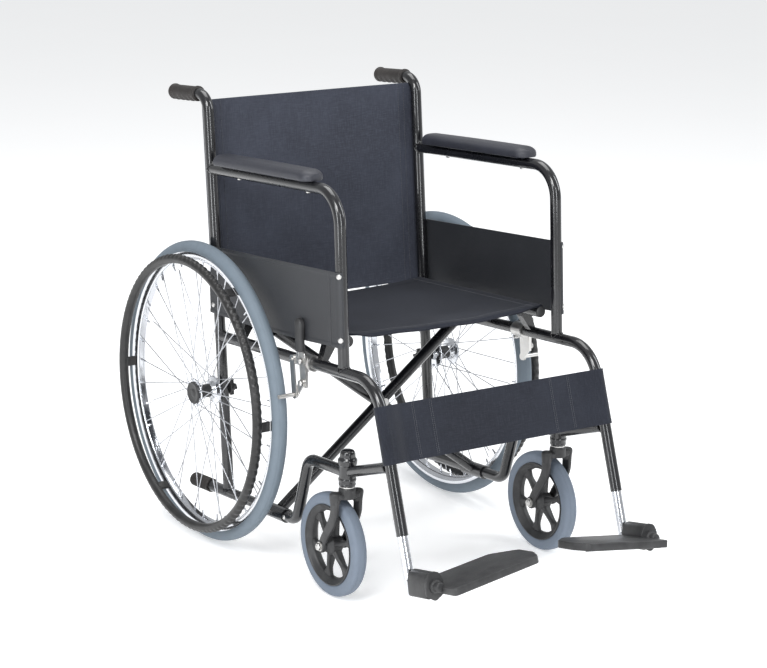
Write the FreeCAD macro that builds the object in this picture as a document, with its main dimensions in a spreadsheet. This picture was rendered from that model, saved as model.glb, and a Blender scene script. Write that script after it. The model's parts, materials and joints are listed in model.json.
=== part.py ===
import FreeCAD, Part
import Sketcher
import math
import os

# Folding manual wheelchair, in millimetres. +Z is up, the floor is z = 0 and the
# front faces -Y. The origin is the middle of the footprint, on the floor. The side
# at -X is the occupant's right. The right side is built and the left one mirrors it.
#
# Each side frame is drawn level, in a frame of its own whose origin is the middle of
# the rear axle: y runs backwards, z upwards and x inwards. The whole side is then
# tipped nose-up about the axle by frame_tilt.

doc = FreeCAD.newDocument("wheelchair")

# ---------------------------------------------------------------- driving dimensions
DIMS = [
    ("seat_width", 471, "between the inner faces of the side frames"),
    ("frame_tube", 22, "outside diameter of the frame tubes"),
    ("frame_wall", 1.5, "wall of the frame tubes"),
    ("frame_tilt", 4.4, "nose-up tip of the side frames, degrees"),
    ("rail_up", 106, "upper rail above the axle"),
    ("rail_down", 214, "lower rail below the axle"),
    ("arm_up", 440, "arm tube above the axle"),
    ("post_forward", 450, "front post ahead of the axle"),
    ("arm_bend", 62, "bend radius of the arm tube"),
    ("cane_lean", 1.8, "back cane behind the perpendicular, degrees"),
    ("handle_up", 585, "push handle corner above the axle, along the cane"),
    ("handle_reach", 131, "push handle behind the cane"),
    ("handle_bend", 34, "bend radius of the push handle"),
    ("grip_radius", 15.5, "outside radius of the push grip"),
    ("grip_length", 100, "length of the push grip"),
    ("hanger_forward", 558, "hanger corner ahead of the axle"),
    ("hanger_rake", 14.9, "hanger ahead of the perpendicular, degrees"),
    ("hanger_bend", 75, "bend radius of the hanger"),
    ("hanger_length", 279, "hanger tube below its corner"),
    ("riser_foot", 268, "lower corner of the riser ahead of the axle"),
    ("riser_top", 318, "upper corner of the riser ahead of the axle"),
    ("step_down", 82, "front run of the lower rail below the axle"),
    ("riser_bend", 30, "bend radius of the riser"),
    ("tip_reach", 133, "tipping lever behind the axle"),
    ("tip_cap_length", 72, "rubber cap on the tipping lever"),
    ("tip_cap_radius", 14, "outside radius of that cap"),
    ("wheel_radius", 301, "rear wheel over the tyre"),
    ("tyre_section", 30, "rear tyre width"),
    ("tyre_depth", 21, "rear rim's outside radius within the tyre's"),
    ("rim_depth", 16, "rear rim, outside to inside radius"),
    ("rim_width", 26, "rear rim width"),
    ("rim_sheet", 2, "rear rim wall"),
    ("wheel_gap", 32, "frame tube to wheel middle, face to centre"),
    ("hub_radius", 14, "rear hub barrel radius"),
    ("flange_radius", 26, "rear hub flange radius"),
    ("flange_offset", 20, "rear hub flange from the wheel's middle"),
    ("spoke_radius", 1, "wire spoke radius"),
    ("spoke_sets", 9, "groups of four spokes in a wheel"),
    ("spoke_lace", 46, "turn of a spoke from flange to rim, degrees"),
    ("axle_radius", 6, "rear axle radius"),
    ("axle_cap", 15, "radius of the cap on the rear axle's outer end"),
    ("axle_nut", 10, "radius of the nut on its inner end"),
    ("handrim_inset", 11, "hand rim centre line within the rim's outside radius"),
    ("handrim_tube", 19, "hand rim tube diameter"),
    ("handrim_offset", 39, "hand rim outboard of the wheel's middle"),
    ("handrim_wall", 2.5, "wall of that tube"),
    ("handrim_tabs", 6, "tabs between rim and hand rim"),
    ("tab_radius", 4.5, "radius of a tab"),
    ("caster_radius", 100, "caster over the tyre"),
    ("caster_width", 29, "caster tyre width"),
    ("caster_depth", 22, "caster core's outside radius within the tyre's"),
    ("core_hub", 17, "caster core hub radius"),
    ("core_band", 13, "depth of the caster core's outer band"),
    ("core_arms", 6, "arms of the caster core"),
    ("caster_forward", 457, "caster stem ahead of the axle"),
    ("caster_trail", 45, "caster wheel behind its stem"),
    ("caster_bolt_radius", 4, "caster axle bolt radius"),
    ("bolt_head", 7, "radius of that bolt's head and nut"),
    ("bolt_head_thick", 5, "thickness of that head and nut"),
    ("stem_radius", 8, "caster stem radius"),
    ("head_radius", 16, "caster head outside radius"),
    ("head_below", 25.3, "caster head's lower face below the rail that meets it"),
    ("head_height", 55, "height of the caster head"),
    ("crown_gap", 20, "underside of the fork crown below the caster head"),
    ("crown_thick", 6, "fork crown thickness"),
    ("leg_thick", 4, "fork leg thickness"),
    ("leg_room", 7, "between the caster tyre's side and a fork leg"),
    ("crown_front", 18, "fork crown ahead of the stem"),
    ("crown_back", 22, "fork crown behind the stem"),
    ("leg_foot", 15, "fork leg about the bolt, at its foot"),
    ("cross_angle", 37, "cross tubes above the level, degrees"),
    ("cross_forward", 183, "cross pivot ahead of the axle"),
    ("cross_gap", 3, "gap between the two cross tubes where they pass"),
    ("cross_bolt", 4, "radius of the bolt where the cross tubes meet"),
    ("cross_head", 8, "radius of that bolt's head and nut"),
    ("cross_head_thick", 6, "thickness of that head and nut"),
    ("sleeve_length", 70, "hinge sleeve of a cross tube"),
    ("sleeve_wall", 3, "wall of that sleeve"),
    ("seat_inset", 24, "seat rail inside the side frame's centre line"),
    ("seat_up", 158, "seat rail above the axle"),
    ("seat_front", 430, "front end of the seat rails"),
    ("seat_back", 16, "rear end of the seat rails"),
    ("saddle_inset", 60, "seat saddles from the ends of the seat rails"),
    ("saddle_length", 18, "seat saddle along the rail"),
    ("saddle_out", 13, "seat saddle outside the seat rail's centre line"),
    ("saddle_in", 6, "seat saddle inside the seat rail's centre line"),
    ("seat_cloth", 3, "thickness of the slings"),
    ("back_low", 160, "lower edge of the back sling, along the cane"),
    ("back_top", 11, "upper edge of the back sling below the push handle corner"),
    ("strap_low", 150, "calf strap's lower edge below the hanger corner"),
    ("strap_high", 44, "calf strap's upper edge below the hanger corner"),
    ("pad_length", 340, "armrest pad length"),
    ("pad_width", 50, "armrest pad width"),
    ("pad_thick", 21, "armrest pad thickness"),
    ("pad_back", 32, "armrest pad's rear end ahead of the axle"),
    ("panel_low", 153, "side panel's lower edge above the axle"),
    ("panel_high", 294, "side panel's upper edge above the axle"),
    ("panel_thick", 2, "side panel thickness"),
    ("foot_tube_length", 200, "sliding footrest tube"),
    ("foot_tube_end", 109, "sliding tube below the hanger's lower end"),
    ("foot_pin_up", 26, "footplate pin above the sliding tube's end"),
    ("foot_pin_radius", 6, "footplate pin radius"),
    ("foot_pitch", 7.5, "footplate pin above the level frame, degrees"),
    ("plate_lift", 8, "footplate up towards the middle, degrees"),
    ("plate_front", 136, "footplate's front edge ahead of the tube"),
    ("plate_reach", 204, "footplate's inner end from the pin"),
    ("plate_thick", 14, "footplate thickness"),
    ("plate_drop", 6, "footplate's middle below its pin"),
    ("plate_near", 16, "footplate's rear edge ahead of its pin's end"),
    ("boss_half", 17, "half the footplate hinge block's width"),
    ("boss_high", 27, "top of that block above its pin"),
    ("boss_low", 22, "underside of that block below its pin"),
    ("boss_length", 62, "length of that block along its pin"),
    ("knob_radius", 10, "knob on the end of the footplate boss"),
    ("knob_length", 20, "length of that knob"),
    ("brake_clear", 33, "brake pivots ahead of the rear tyre"),
    ("brake_drop", 42, "shoe pivot below the lever pivot"),
    ("brake_crank", 28, "lever pivot to link pin"),
    ("brake_arm", 35, "shoe pivot to shoe rod"),
    ("brake_arm_angle", 42, "shoe arm behind straight down, degrees"),
    ("brake_plate", 3, "thickness of the brake's plates"),
    ("brake_pin", 3, "brake pivot radius"),
    ("brake_rod", 4, "brake shoe rod radius"),
    ("brake_grip_low", 18, "brake grip's lower end above the lever pivot"),
    ("brake_grip_length", 63, "brake grip length"),
    ("brake_grip_half", 12, "half the brake grip's width"),
    ("brake_offset", 7.5, "brake lever outside the rail's face"),
    ("running", 0.05, "radial clearance of a turning or sliding fit"),
    ("apart", 0.3, "gap between pieces that only pass each other"),
]

sheet = doc.addObject("Spreadsheet::Sheet", "dims")
for row, (alias, value, note) in enumerate(DIMS, 1):
    sheet.set("A%d" % row, str(value))
    sheet.setAlias("A%d" % row, alias)
    sheet.set("B%d" % row, note)
doc.recompute()


class Dim:
    """A size: its formula on the sheet and its value."""

    def __init__(self, text, value):
        self.text = text
        self.value = float(value)

    @staticmethod
    def of(other):
        return other if isinstance(other, Dim) else Dim(repr(float(other)), other)

    def join(self, sign, other, value):
        return Dim("(%s %s %s)" % (self.text, sign, other.text), value)

    def __add__(self, other):
        other = Dim.of(other)
        return self.join("+", other, self.value + other.value)

    def __sub__(self, other):
        other = Dim.of(other)
        return self.join("-", other, self.value - other.value)

    def __mul__(self, other):
        other = Dim.of(other)
        return self.join("*", other, self.value * other.value)

    def __truediv__(self, other):
        other = Dim.of(other)
        return self.join("/", other, self.value / other.value)

    def __radd__(self, other):
        return Dim.of(other) + self

    def __rsub__(self, other):
        return Dim.of(other) - self

    def __rmul__(self, other):
        return Dim.of(other) * self

    def __neg__(self):
        return Dim("(0 - %s)" % self.text, -self.value)


def sin(angle):
    return Dim("sin(%s)" % angle.text, math.sin(math.radians(angle.value)))


def cos(angle):
    return Dim("cos(%s)" % angle.text, math.cos(math.radians(angle.value)))


def tan(angle):
    return Dim("tan(%s)" % angle.text, math.tan(math.radians(angle.value)))


class Sizes:
    """The sheet's cells, each as a Dim."""


d = Sizes()
for alias, value, note in DIMS:
    setattr(d, alias, Dim("dims." + alias, value))

# ------------------------------------------------------------------- derived places
half_tube = d.frame_tube / 2
half_frame = d.seat_width / 2 + half_tube
d.rim_radius = d.wheel_radius - d.tyre_depth
d.handrim_radius = d.rim_radius - d.handrim_inset
d.caster_rim = d.caster_radius - d.caster_depth
d.back_high = d.handle_up - d.back_top
d.brake_forward = d.wheel_radius + d.brake_clear
d.cross_spread = d.frame_tube + d.cross_gap
front_run = d.caster_forward * sin(d.frame_tilt) - d.step_down * cos(d.frame_tilt)
d.head_low = d.wheel_radius + front_run - d.head_below
d.head_high = d.head_low + d.head_height
d.crown_low = d.head_low - d.crown_gap
bore = half_tube - d.frame_wall
wheel_middle = half_frame + half_tube + d.wheel_gap
# The hanger's line, measured from its corner along the tube.
foot_end = d.hanger_length + d.foot_tube_end
pin_along = foot_end - d.foot_pin_up
pin_forward = d.hanger_forward + pin_along * sin(d.hanger_rake)
pin_up = d.rail_up - pin_along * cos(d.hanger_rake)
pitch = d.foot_pitch + d.frame_tilt
pin_reach = pin_forward * cos(d.frame_tilt) - pin_up * sin(d.frame_tilt)
plate_low = d.plate_thick / 2 + d.plate_drop
front_reach = pin_reach + d.plate_front * cos(pitch) + plate_low * sin(pitch)
axle_y = (front_reach - d.wheel_radius) / 2
# The scissor: pivot height above the axle, and half length of a cross tube.
pivot_up = half_frame * tan(d.cross_angle) - d.rail_down
lower_half = half_frame / cos(d.cross_angle)
seat_x = half_frame - d.seat_inset
upper_half = seat_x * cos(d.cross_angle) + (d.seat_up - pivot_up) * sin(d.cross_angle)


# --------------------------------------------------------------------- small helpers
def bind(item, name, size):
    item.setExpression(name, size.text)


def set_place(item, prop, base, axis, angle):
    """Puts an item at base, turned about a fixed axis by an angle of the sheet."""
    start = FreeCAD.Rotation(FreeCAD.Vector(*axis), max(Dim.of(angle).value, 1.0))
    where = FreeCAD.Vector(*[Dim.of(value).value for value in base])
    setattr(item, prop, FreeCAD.Placement(where, start))
    for letter, value in zip("xyz", base):
        bind(item, "%s.Base.%s" % (prop, letter), Dim.of(value))
    bind(item, prop + ".Rotation.Angle", Dim.of(angle))


def new_body(label):
    body = doc.addObject("PartDesign::Body", label)
    body.Label = label
    return body


def on_frame(label, turn=None, base=None):
    """A body drawn level on the right side frame, tipped with it about the axle."""
    body = new_body(label)
    where = base or (-half_frame, axle_y, d.wheel_radius)
    set_place(body, "Placement", where, (-1, 0, 0), turn or d.frame_tilt)
    return body


def tipped(forward, up):
    """A point of the level frame, as forward and up from the axle once tipped."""
    ahead = forward * cos(d.frame_tilt) - up * sin(d.frame_tilt)
    above = forward * sin(d.frame_tilt) + up * cos(d.frame_tilt)
    return ahead, above


def frame_point(forward, up, x=None):
    """The place in the whole chair of a point of the level right side frame."""
    ahead, above = tipped(forward, up)
    return (-half_frame if x is None else x, axle_y - ahead, d.wheel_radius + above)


def plane(body, role):
    return [item for item in body.Origin.OriginFeatures if item.Role == role][0]


def new_sketch(body, name, role, lift=None):
    """A sketch on one of the body's own origin planes, lifted along its normal."""
    sketch = body.newObject("Sketcher::SketchObject", body.Label + "_" + name)
    sketch.AttachmentSupport = (plane(body, role), [""])
    sketch.MapMode = "FlatFace"
    if lift is not None:
        bind(sketch, "AttachmentOffset.Base.z", Dim.of(lift))
    return sketch


def pin_point(sketch, geometry, corner, x, y):
    """Fixes one point of a sketch at x, y from its origin."""
    for kind, value in (("DistanceX", Dim.of(x)), ("DistanceY", Dim.of(y))):
        rule = Sketcher.Constraint(kind, -1, 1, geometry, corner, value.value)
        index = sketch.addConstraint(rule)
        bind(sketch, "Constraints[%d]" % index, value)


def circle(sketch, x, y, radius):
    x, y, radius = Dim.of(x), Dim.of(y), Dim.of(radius)
    centre = FreeCAD.Vector(x.value, y.value, 0)
    shape = Part.Circle(centre, FreeCAD.Vector(0, 0, 1), radius.value)
    index = sketch.addGeometry(shape)
    rule = sketch.addConstraint(Sketcher.Constraint("Radius", index, radius.value))
    bind(sketch, "Constraints[%d]" % rule, radius)
    pin_point(sketch, index, 3, x, y)
    return index


def bent(points, radii):
    """Straight runs and tangent arcs through corner points, as values."""
    spots = [FreeCAD.Vector(Dim.of(a).value, Dim.of(b).value, 0) for a, b in points]
    runs = []
    start = spots[0]
    for here, after, radius in zip(spots[1:-1], spots[2:], radii):
        into = (here - spots[spots.index(here) - 1]).normalize()
        out = (after - here).normalize()
        turn = into.getAngle(out)
        cut = radius.value * math.tan(turn / 2)
        first = here - into * cut
        last = here + out * cut
        halfway = (out - into).normalize()
        centre = here + halfway * (radius.value / math.cos(turn / 2))
        runs.append((start, first, centre, last, into.cross(out).z > 0))
        start = last
    return runs, start, spots[-1]


def bend_path(sketch, points, radii):
    """A path of straight runs, rounded at its inner corners by tangent arcs."""
    radii = [Dim.of(radius) for radius in radii]
    runs, start, end = bent(points, radii)
    lines = []
    arcs = []
    for begin, first, centre, last, left in runs:
        lines.append(sketch.addGeometry(Part.LineSegment(begin, first)))
        ring = Part.Circle(centre, FreeCAD.Vector(0, 0, 1), (first - centre).Length)
        low, high = (first, last) if left else (last, first)
        arc = Part.ArcOfCircle(ring, ring.parameter(low), ring.parameter(high))
        arcs.append((sketch.addGeometry(arc), left))
    lines.append(sketch.addGeometry(Part.LineSegment(start, end)))
    for index, (arc, left) in enumerate(arcs):
        head, tail = (1, 2) if left else (2, 1)
        rules = [
            Sketcher.Constraint("Tangent", lines[index], 2, arc, head),
            Sketcher.Constraint("Tangent", arc, tail, lines[index + 1], 1),
        ]
        sketch.addConstraint(rules)
        radius = radii[index]
        rule = sketch.addConstraint(Sketcher.Constraint("Radius", arc, radius.value))
        bind(sketch, "Constraints[%d]" % rule, radius)
        x, y = points[index + 1]
        corner = FreeCAD.Vector(Dim.of(x).value, Dim.of(y).value, 0)
        mark = sketch.addGeometry(Part.Point(corner), True)
        pin_point(sketch, mark, 1, x, y)
        rules = [
            Sketcher.Constraint("PointOnObject", mark, 1, lines[index]),
            Sketcher.Constraint("PointOnObject", mark, 1, lines[index + 1]),
        ]
        sketch.addConstraint(rules)
    pin_point(sketch, lines[0], 1, *points[0])
    pin_point(sketch, lines[-1], 2, *points[-1])


def polygon(sketch, points):
    """A closed outline of straight edges, every corner fixed."""
    spots = [FreeCAD.Vector(Dim.of(a).value, Dim.of(b).value, 0) for a, b in points]
    edges = []
    for here, after in zip(spots, spots[1:] + spots[:1]):
        edges.append(sketch.addGeometry(Part.LineSegment(here, after)))
    for here, after in zip(edges, edges[1:] + edges[:1]):
        sketch.addConstraint(Sketcher.Constraint("Coincident", here, 2, after, 1))
    for edge, (x, y) in zip(edges, points):
        pin_point(sketch, edge, 1, x, y)


def slot_outline(sketch, first, last, radius):
    """Two circles' worth of rounded bar between two points."""
    ends = [FreeCAD.Vector(Dim.of(a).value, Dim.of(b).value, 0) for a, b in (first, last)]
    along = (ends[1] - ends[0]).normalize()
    side = FreeCAD.Vector(-along.y, along.x, 0) * radius.value
    up = FreeCAD.Vector(0, 0, 1)
    rings = [Part.Circle(end, up, radius.value) for end in ends]
    caps = []
    for ring, end, (low, high) in zip(rings, ends, ((1, -1), (-1, 1))):
        start, stop = end + side * low, end + side * high
        arc = Part.ArcOfCircle(ring, ring.parameter(start), ring.parameter(stop))
        caps.append(sketch.addGeometry(arc))
    lower = sketch.addGeometry(Part.LineSegment(ends[0] - side, ends[1] - side))
    upper = sketch.addGeometry(Part.LineSegment(ends[1] + side, ends[0] + side))
    sketch.addConstraint(
        [
            Sketcher.Constraint("Tangent", caps[0], 2, lower, 1),
            Sketcher.Constraint("Tangent", lower, 2, caps[1], 1),
            Sketcher.Constraint("Tangent", caps[1], 2, upper, 1),
            Sketcher.Constraint("Tangent", upper, 2, caps[0], 1),
        ]
    )
    rule = sketch.addConstraint(Sketcher.Constraint("Radius", caps[0], radius.value))
    bind(sketch, "Constraints[%d]" % rule, radius)
    pin_point(sketch, caps[0], 3, *first)
    pin_point(sketch, caps[1], 3, *last)


def pad(sketch, length, both=False, back=False):
    body = sketch.getParentGeoFeatureGroup()
    feature = body.newObject("PartDesign::Pad", sketch.Label + "_pad")
    feature.Profile = sketch
    bind(feature, "Length", Dim.of(length))
    feature.Midplane = both
    feature.Reversed = back
    return feature


def pocket(sketch, length, both=True, back=False):
    body = sketch.getParentGeoFeatureGroup()
    feature = body.newObject("PartDesign::Pocket", sketch.Label + "_cut")
    feature.Profile = sketch
    bind(feature, "Length", Dim.of(length))
    feature.Midplane = both
    feature.Reversed = back
    return feature


def spin(sketch, axis="H_Axis"):
    body = sketch.getParentGeoFeatureGroup()
    feature = body.newObject("PartDesign::Revolution", sketch.Label + "_turn")
    feature.Profile = sketch
    feature.ReferenceAxis = (sketch, [axis])
    feature.Angle = 360
    return feature


def ring_of(body, features, count):
    """Copies features round the body's x axis."""
    pattern = body.newObject("PartDesign::PolarPattern", body.Label + "_ring")
    pattern.Originals = features
    pattern.Axis = (plane(body, "X_Axis"), [""])
    pattern.Angle = 360
    bind(pattern, "Occurrences", count)
    body.Tip = pattern
    return pattern


def rod(body, name, base, axis, angle, radius, length, cut=False):
    """A round bar from base, along the body's z turned about an axis by an angle."""
    kind = "Subtractive" if cut else "Additive"
    bar = body.newObject("PartDesign::%sCylinder" % kind, body.Label + "_" + name)
    bar.AttachmentSupport = (plane(body, "XY_Plane"), [""])
    bar.MapMode = "FlatFace"
    bind(bar, "Radius", Dim.of(radius))
    bind(bar, "Height", Dim.of(length))
    set_place(bar, "AttachmentOffset", base, axis, angle)
    return bar


def tube_along(body, points, radii, role, lift, start, outer, inner):
    """A hollow tube swept along a bent path in the body's y-z plane."""
    path = new_sketch(body, "path", "YZ_Plane")
    bend_path(path, points, radii)
    profile = new_sketch(body, "section", role, lift)
    circle(profile, start[0], start[1], outer)
    circle(profile, start[0], start[1], inner)
    pipe = body.newObject("PartDesign::AdditivePipe", body.Label + "_tube")
    pipe.Profile = profile
    doc.recompute()
    edges = ["Edge%d" % (n + 1) for n in range(len(path.Shape.Edges))]
    pipe.Spine = (path, edges)
    return pipe


def bar_x(body, name, forward, up, radius, start, length, cut=False):
    """A round bar along x, outboard from start, at a place of the level frame."""
    base = (-Dim.of(start), -Dim.of(forward), Dim.of(up))
    return rod(body, name, base, (0, -1, 0), Dim.of(90), radius, length, cut)


# ------------------------------------------------------------------ side frame tubes
def back_cane():
    """Upright from the lower rail through the axle, bent back into the handle."""
    body = on_frame("right_back_cane", d.frame_tilt + d.cane_lean)
    foot = -d.rail_down + half_tube - d.frame_wall
    top = (0, d.handle_up)
    rise = Dim.of(1)
    end = (d.handle_reach * cos(rise), d.handle_up + d.handle_reach * sin(rise))
    points = [(0, foot), top, end]
    tube_along(body, points, [d.handle_bend], "XY_Plane", foot, (0, 0), half_tube, bore)
    # The axle's cross hole.
    rod(body, "axle_hole", (-half_tube * 2, 0, 0), (0, 1, 0), 90, d.axle_radius,
        half_tube * 4, cut=True)
    return body


def push_grip():
    """Rubber sleeve with a closed end over the push handle."""
    body = on_frame("right_push_grip", d.frame_tilt + d.cane_lean)
    closed = Dim.of(5)
    tilt = Dim.of(89)
    start = d.handle_reach + closed - d.grip_length
    base = (0, start * cos(Dim.of(1)), d.handle_up + start * sin(Dim.of(1)))
    rod(body, "sleeve", base, (-1, 0, 0), tilt, d.grip_radius, d.grip_length)
    rod(body, "hollow", base, (-1, 0, 0), tilt, half_tube, d.grip_length - closed, cut=True)
    return body


def arm_tube():
    """From the cane forward under the armrest, and down as the front post."""
    body = on_frame("right_arm_tube")
    back = -(d.arm_up * tan(d.cane_lean)) + half_tube - d.frame_wall
    foot = d.rail_up + half_tube - d.frame_wall
    points = [(-back, d.arm_up), (-d.post_forward, d.arm_up), (-d.post_forward, foot)]
    tube_along(body, points, [d.arm_bend], "XZ_Plane", back, (0, d.arm_up), half_tube, bore)
    return body


def upper_rail():
    """From the cane forward, bent down into the hanger, with two seat saddles."""
    body = on_frame("right_upper_rail")
    back = -(d.rail_up * tan(d.cane_lean)) + half_tube - d.frame_wall
    end = (
        -(d.hanger_forward + d.hanger_length * sin(d.hanger_rake)),
        d.rail_up - d.hanger_length * cos(d.hanger_rake),
    )
    points = [(-back, d.rail_up), (-d.hanger_forward, d.rail_up), end]
    tube_along(body, points, [d.hanger_bend], "XZ_Plane", back, (0, d.rail_up), half_tube, bore)
    # Each saddle leans inwards and up from the rail to cradle the seat rail.
    places = (("back", d.seat_back + d.saddle_inset), ("front", d.seat_front - d.saddle_inset))
    for name, forward in places:
        middle = forward - d.saddle_length / 2
        saddle = new_sketch(body, "saddle_" + name, "XZ_Plane", middle)
        polygon(
            saddle,
            [
                (-2, d.rail_up + half_tube - 2),
                (9, d.rail_up + half_tube * 0.5),
                (d.seat_inset + d.saddle_in, d.seat_up - half_tube - 5),
                (d.seat_inset + d.saddle_in, d.seat_up - 4),
                (d.seat_inset - d.saddle_out, d.seat_up - 4),
            ],
        )
        pad(saddle, d.saddle_length)
    rod(body, "seat_rail_room", (d.seat_inset, -d.seat_back, d.seat_up), (1, 0, 0), 90,
        half_tube + d.apart, d.seat_front, cut=True)
    return body


def lower_rail():
    """Tipping lever, lower rail, riser and the run to the caster head, in one tube."""
    body = on_frame("right_lower_rail")
    back = -d.tip_reach + 3
    head = d.caster_forward / cos(d.frame_tilt) - d.head_radius
    points = [
        (-back, -d.rail_down),
        (-d.riser_foot, -d.rail_down),
        (-d.riser_top, -d.step_down),
        (-head, -d.step_down),
    ]
    radii = [d.riser_bend, d.riser_bend]
    tube_along(body, points, radii, "XZ_Plane", back, (0, -d.rail_down), half_tube, bore)
    return body


def tip_cap():
    """Rubber cap on the end of the tipping lever."""
    body = on_frame("right_tip_cap")
    base = (0, d.tip_reach, -d.rail_down)
    closed = Dim.of(3)
    rod(body, "cap", base, (1, 0, 0), 90, d.tip_cap_radius, d.tip_cap_length)
    inside = (0, d.tip_reach - closed, -d.rail_down)
    rod(body, "hollow", inside, (1, 0, 0), 90, half_tube, d.tip_cap_length, cut=True)
    return body


def caster_head():
    """Upright housing of the caster stem, its cap, and the stub to the hanger."""
    base = (-half_frame, axle_y - d.caster_forward, 0)
    body = new_body("right_caster_head")
    set_place(body, "Placement", base, (1, 0, 0), 0)
    outline = new_sketch(body, "outline", "XZ_Plane")
    cap = Dim.of(12)
    inner = d.stem_radius + d.running
    polygon(
        outline,
        [
            (inner, d.head_low),
            (d.head_radius, d.head_low),
            (d.head_radius, d.head_high - 8),
            (d.head_radius + 1, d.head_high - 8),
            (d.head_radius + 1, d.head_high),
            (cap, d.head_high + 12),
            (0, d.head_high + 14),
            (0, d.head_high + 4),
            (inner, d.head_high + 4),
        ],
    )
    spin(outline, "V_Axis")
    # The stub leaves square to the hanger, from the height of the rail's front run.
    slope = d.hanger_rake + d.frame_tilt
    start_up = d.wheel_radius - d.step_down + d.caster_forward * sin(d.frame_tilt) - 2
    across = pin_reach - d.caster_forward
    rise = start_up - (d.wheel_radius + tipped(pin_forward, pin_up)[1])
    # Distance from the stem, along the stub, to the hanger's centre line.
    length = across * cos(slope) - rise * sin(slope)
    start = Dim.of(12)
    base = (0, -(start * cos(slope)), start_up + start * sin(slope))
    far = length + (0 - start) - half_tube + d.frame_wall
    rod(body, "stub", base, (1, 0, 0), 90 - slope, half_tube - 1, far)
    return body


# ------------------------------------------------------------- arm pad and side panel
def arm_pad():
    """Padded armrest on top of the arm tube, rounded at its front."""
    body = on_frame("right_arm_pad")
    low = d.arm_up + half_tube + d.apart
    outline = new_sketch(body, "outline", "XY_Plane", low)
    half = d.pad_width / 2
    front = d.pad_back + d.pad_length
    polygon(
        outline,
        [
            (-half, -d.pad_back - 6),
            (-half + 6, -d.pad_back),
            (half - 6, -d.pad_back),
            (half, -d.pad_back - 6),
            (half, -front + 16),
            (half - 12, -front),
            (-half + 12, -front),
            (-half, -front + 16),
        ],
    )
    pad(outline, d.pad_thick)
    return body


def side_panel():
    """Skirt guard sheet on the outside of the cane and the post."""
    body = on_frame("right_side_panel")
    outside = half_tube + d.apart
    outline = new_sketch(body, "outline", "YZ_Plane", -outside)
    back = half_tube + 5
    front = -(d.post_forward - half_tube - d.apart)
    polygon(
        outline,
        [
            (back, d.panel_low),
            (front, d.panel_low + 4),
            (front, d.panel_high),
            (back, d.panel_high - 6),
        ],
    )
    pad(outline, d.panel_thick, back=True)
    return body


# ------------------------------------------------------------------------ rear wheel
def at_wheel(label):
    """A body at the right rear wheel's centre."""
    body = new_body(label)
    set_place(body, "Placement", (-wheel_middle, axle_y, d.wheel_radius), (1, 0, 0), 0)
    return body


def rear_tyre():
    body = at_wheel("right_tyre")
    section = new_sketch(body, "section", "XY_Plane")
    half = d.tyre_section / 2
    centre = d.wheel_radius - half
    polygon(
        section,
        [
            (-(d.rim_width / 2), d.rim_radius),
            (-half, centre),
            (-(half * 0.8), centre + half * 0.6),
            (-(half * 0.4), centre + half * 0.9165),
            (0, d.wheel_radius),
            (half * 0.4, centre + half * 0.9165),
            (half * 0.8, centre + half * 0.6),
            (half, centre),
            (d.rim_width / 2, d.rim_radius),
        ],
    )
    spin(section)
    return body


def rear_rim():
    """Chromed channel rim, its floor narrower than its mouth."""
    body = at_wheel("right_rim")
    section = new_sketch(body, "section", "XY_Plane")
    half = d.rim_width / 2
    floor = half * 0.55
    inside = d.rim_radius - d.rim_depth
    shoulder = d.rim_radius - d.rim_depth * 0.38
    wall = d.rim_sheet
    polygon(
        section,
        [
            (-half, d.rim_radius),
            (-half, shoulder),
            (-floor, inside),
            (floor, inside),
            (half, shoulder),
            (half, d.rim_radius),
            (half - wall, d.rim_radius),
            (half - wall, shoulder + wall / 2),
            (floor - wall / 2, inside + wall),
            (-floor + wall / 2, inside + wall),
            (-half + wall, shoulder + wall / 2),
            (-half + wall, d.rim_radius),
        ],
    )
    spin(section)
    return body


def rear_hub():
    """Two-flange hub with its bearings, and the dished cap outboard."""
    body = at_wheel("right_hub")
    section = new_sketch(body, "section", "XY_Plane")
    inner = d.axle_radius + d.running
    flange = Dim.of(3)
    neck = Dim.of(10)
    inboard = d.wheel_gap - d.apart
    outboard = d.wheel_gap - 4
    polygon(
        section,
        [
            (-outboard, inner),
            (-outboard, neck + 3),
            (-(d.flange_offset + flange), neck + 4),
            (-(d.flange_offset + flange), d.flange_radius),
            (-d.flange_offset, d.flange_radius),
            (-d.flange_offset, d.hub_radius),
            (d.flange_offset, d.hub_radius),
            (d.flange_offset, d.flange_radius),
            (d.flange_offset + flange, d.flange_radius),
            (d.flange_offset + flange, neck),
            (inboard, neck),
            (inboard, inner),
        ],
    )
    spin(section)
    return body


def spokes():
    """Crossed wire spokes, four to a group: both flanges, both ways round."""
    body = at_wheel("right_spokes")
    hole = d.flange_radius - 1.5
    seat = d.rim_radius - d.rim_depth
    lace = math.radians(d.spoke_lace.value)
    step = 360.0 / (4 * d.spoke_sets.value)
    wires = []
    for number, (side, way) in enumerate(((-1, -1), (1, 1), (-1, 1), (1, -1))):
        start = FreeCAD.Vector(side * (d.flange_offset.value + 1.5), 0, hole.value)
        end = FreeCAD.Vector(
            side * 3,
            way * seat.value * math.sin(lace),
            seat.value * math.cos(lace),
        )
        aim = FreeCAD.Rotation(FreeCAD.Vector(0, 0, 1), end - start)
        # The spoke's rim end goes to an even place, so its phase takes off its lace.
        phase = number * step + math.degrees(way * lace)
        around = FreeCAD.Placement(
            FreeCAD.Vector(), FreeCAD.Rotation(FreeCAD.Vector(1, 0, 0), phase)
        )
        wire = body.newObject("PartDesign::AdditiveCylinder", "right_spoke_%d" % number)
        wire.AttachmentSupport = (plane(body, "XY_Plane"), [""])
        wire.MapMode = "FlatFace"
        wire.AttachmentOffset = around.multiply(FreeCAD.Placement(start, aim))
        bind(wire, "Radius", d.spoke_radius)
        wire.Height = (end - start).Length
        wires.append(wire)
    ring_of(body, wires, d.spoke_sets)
    return body


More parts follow.
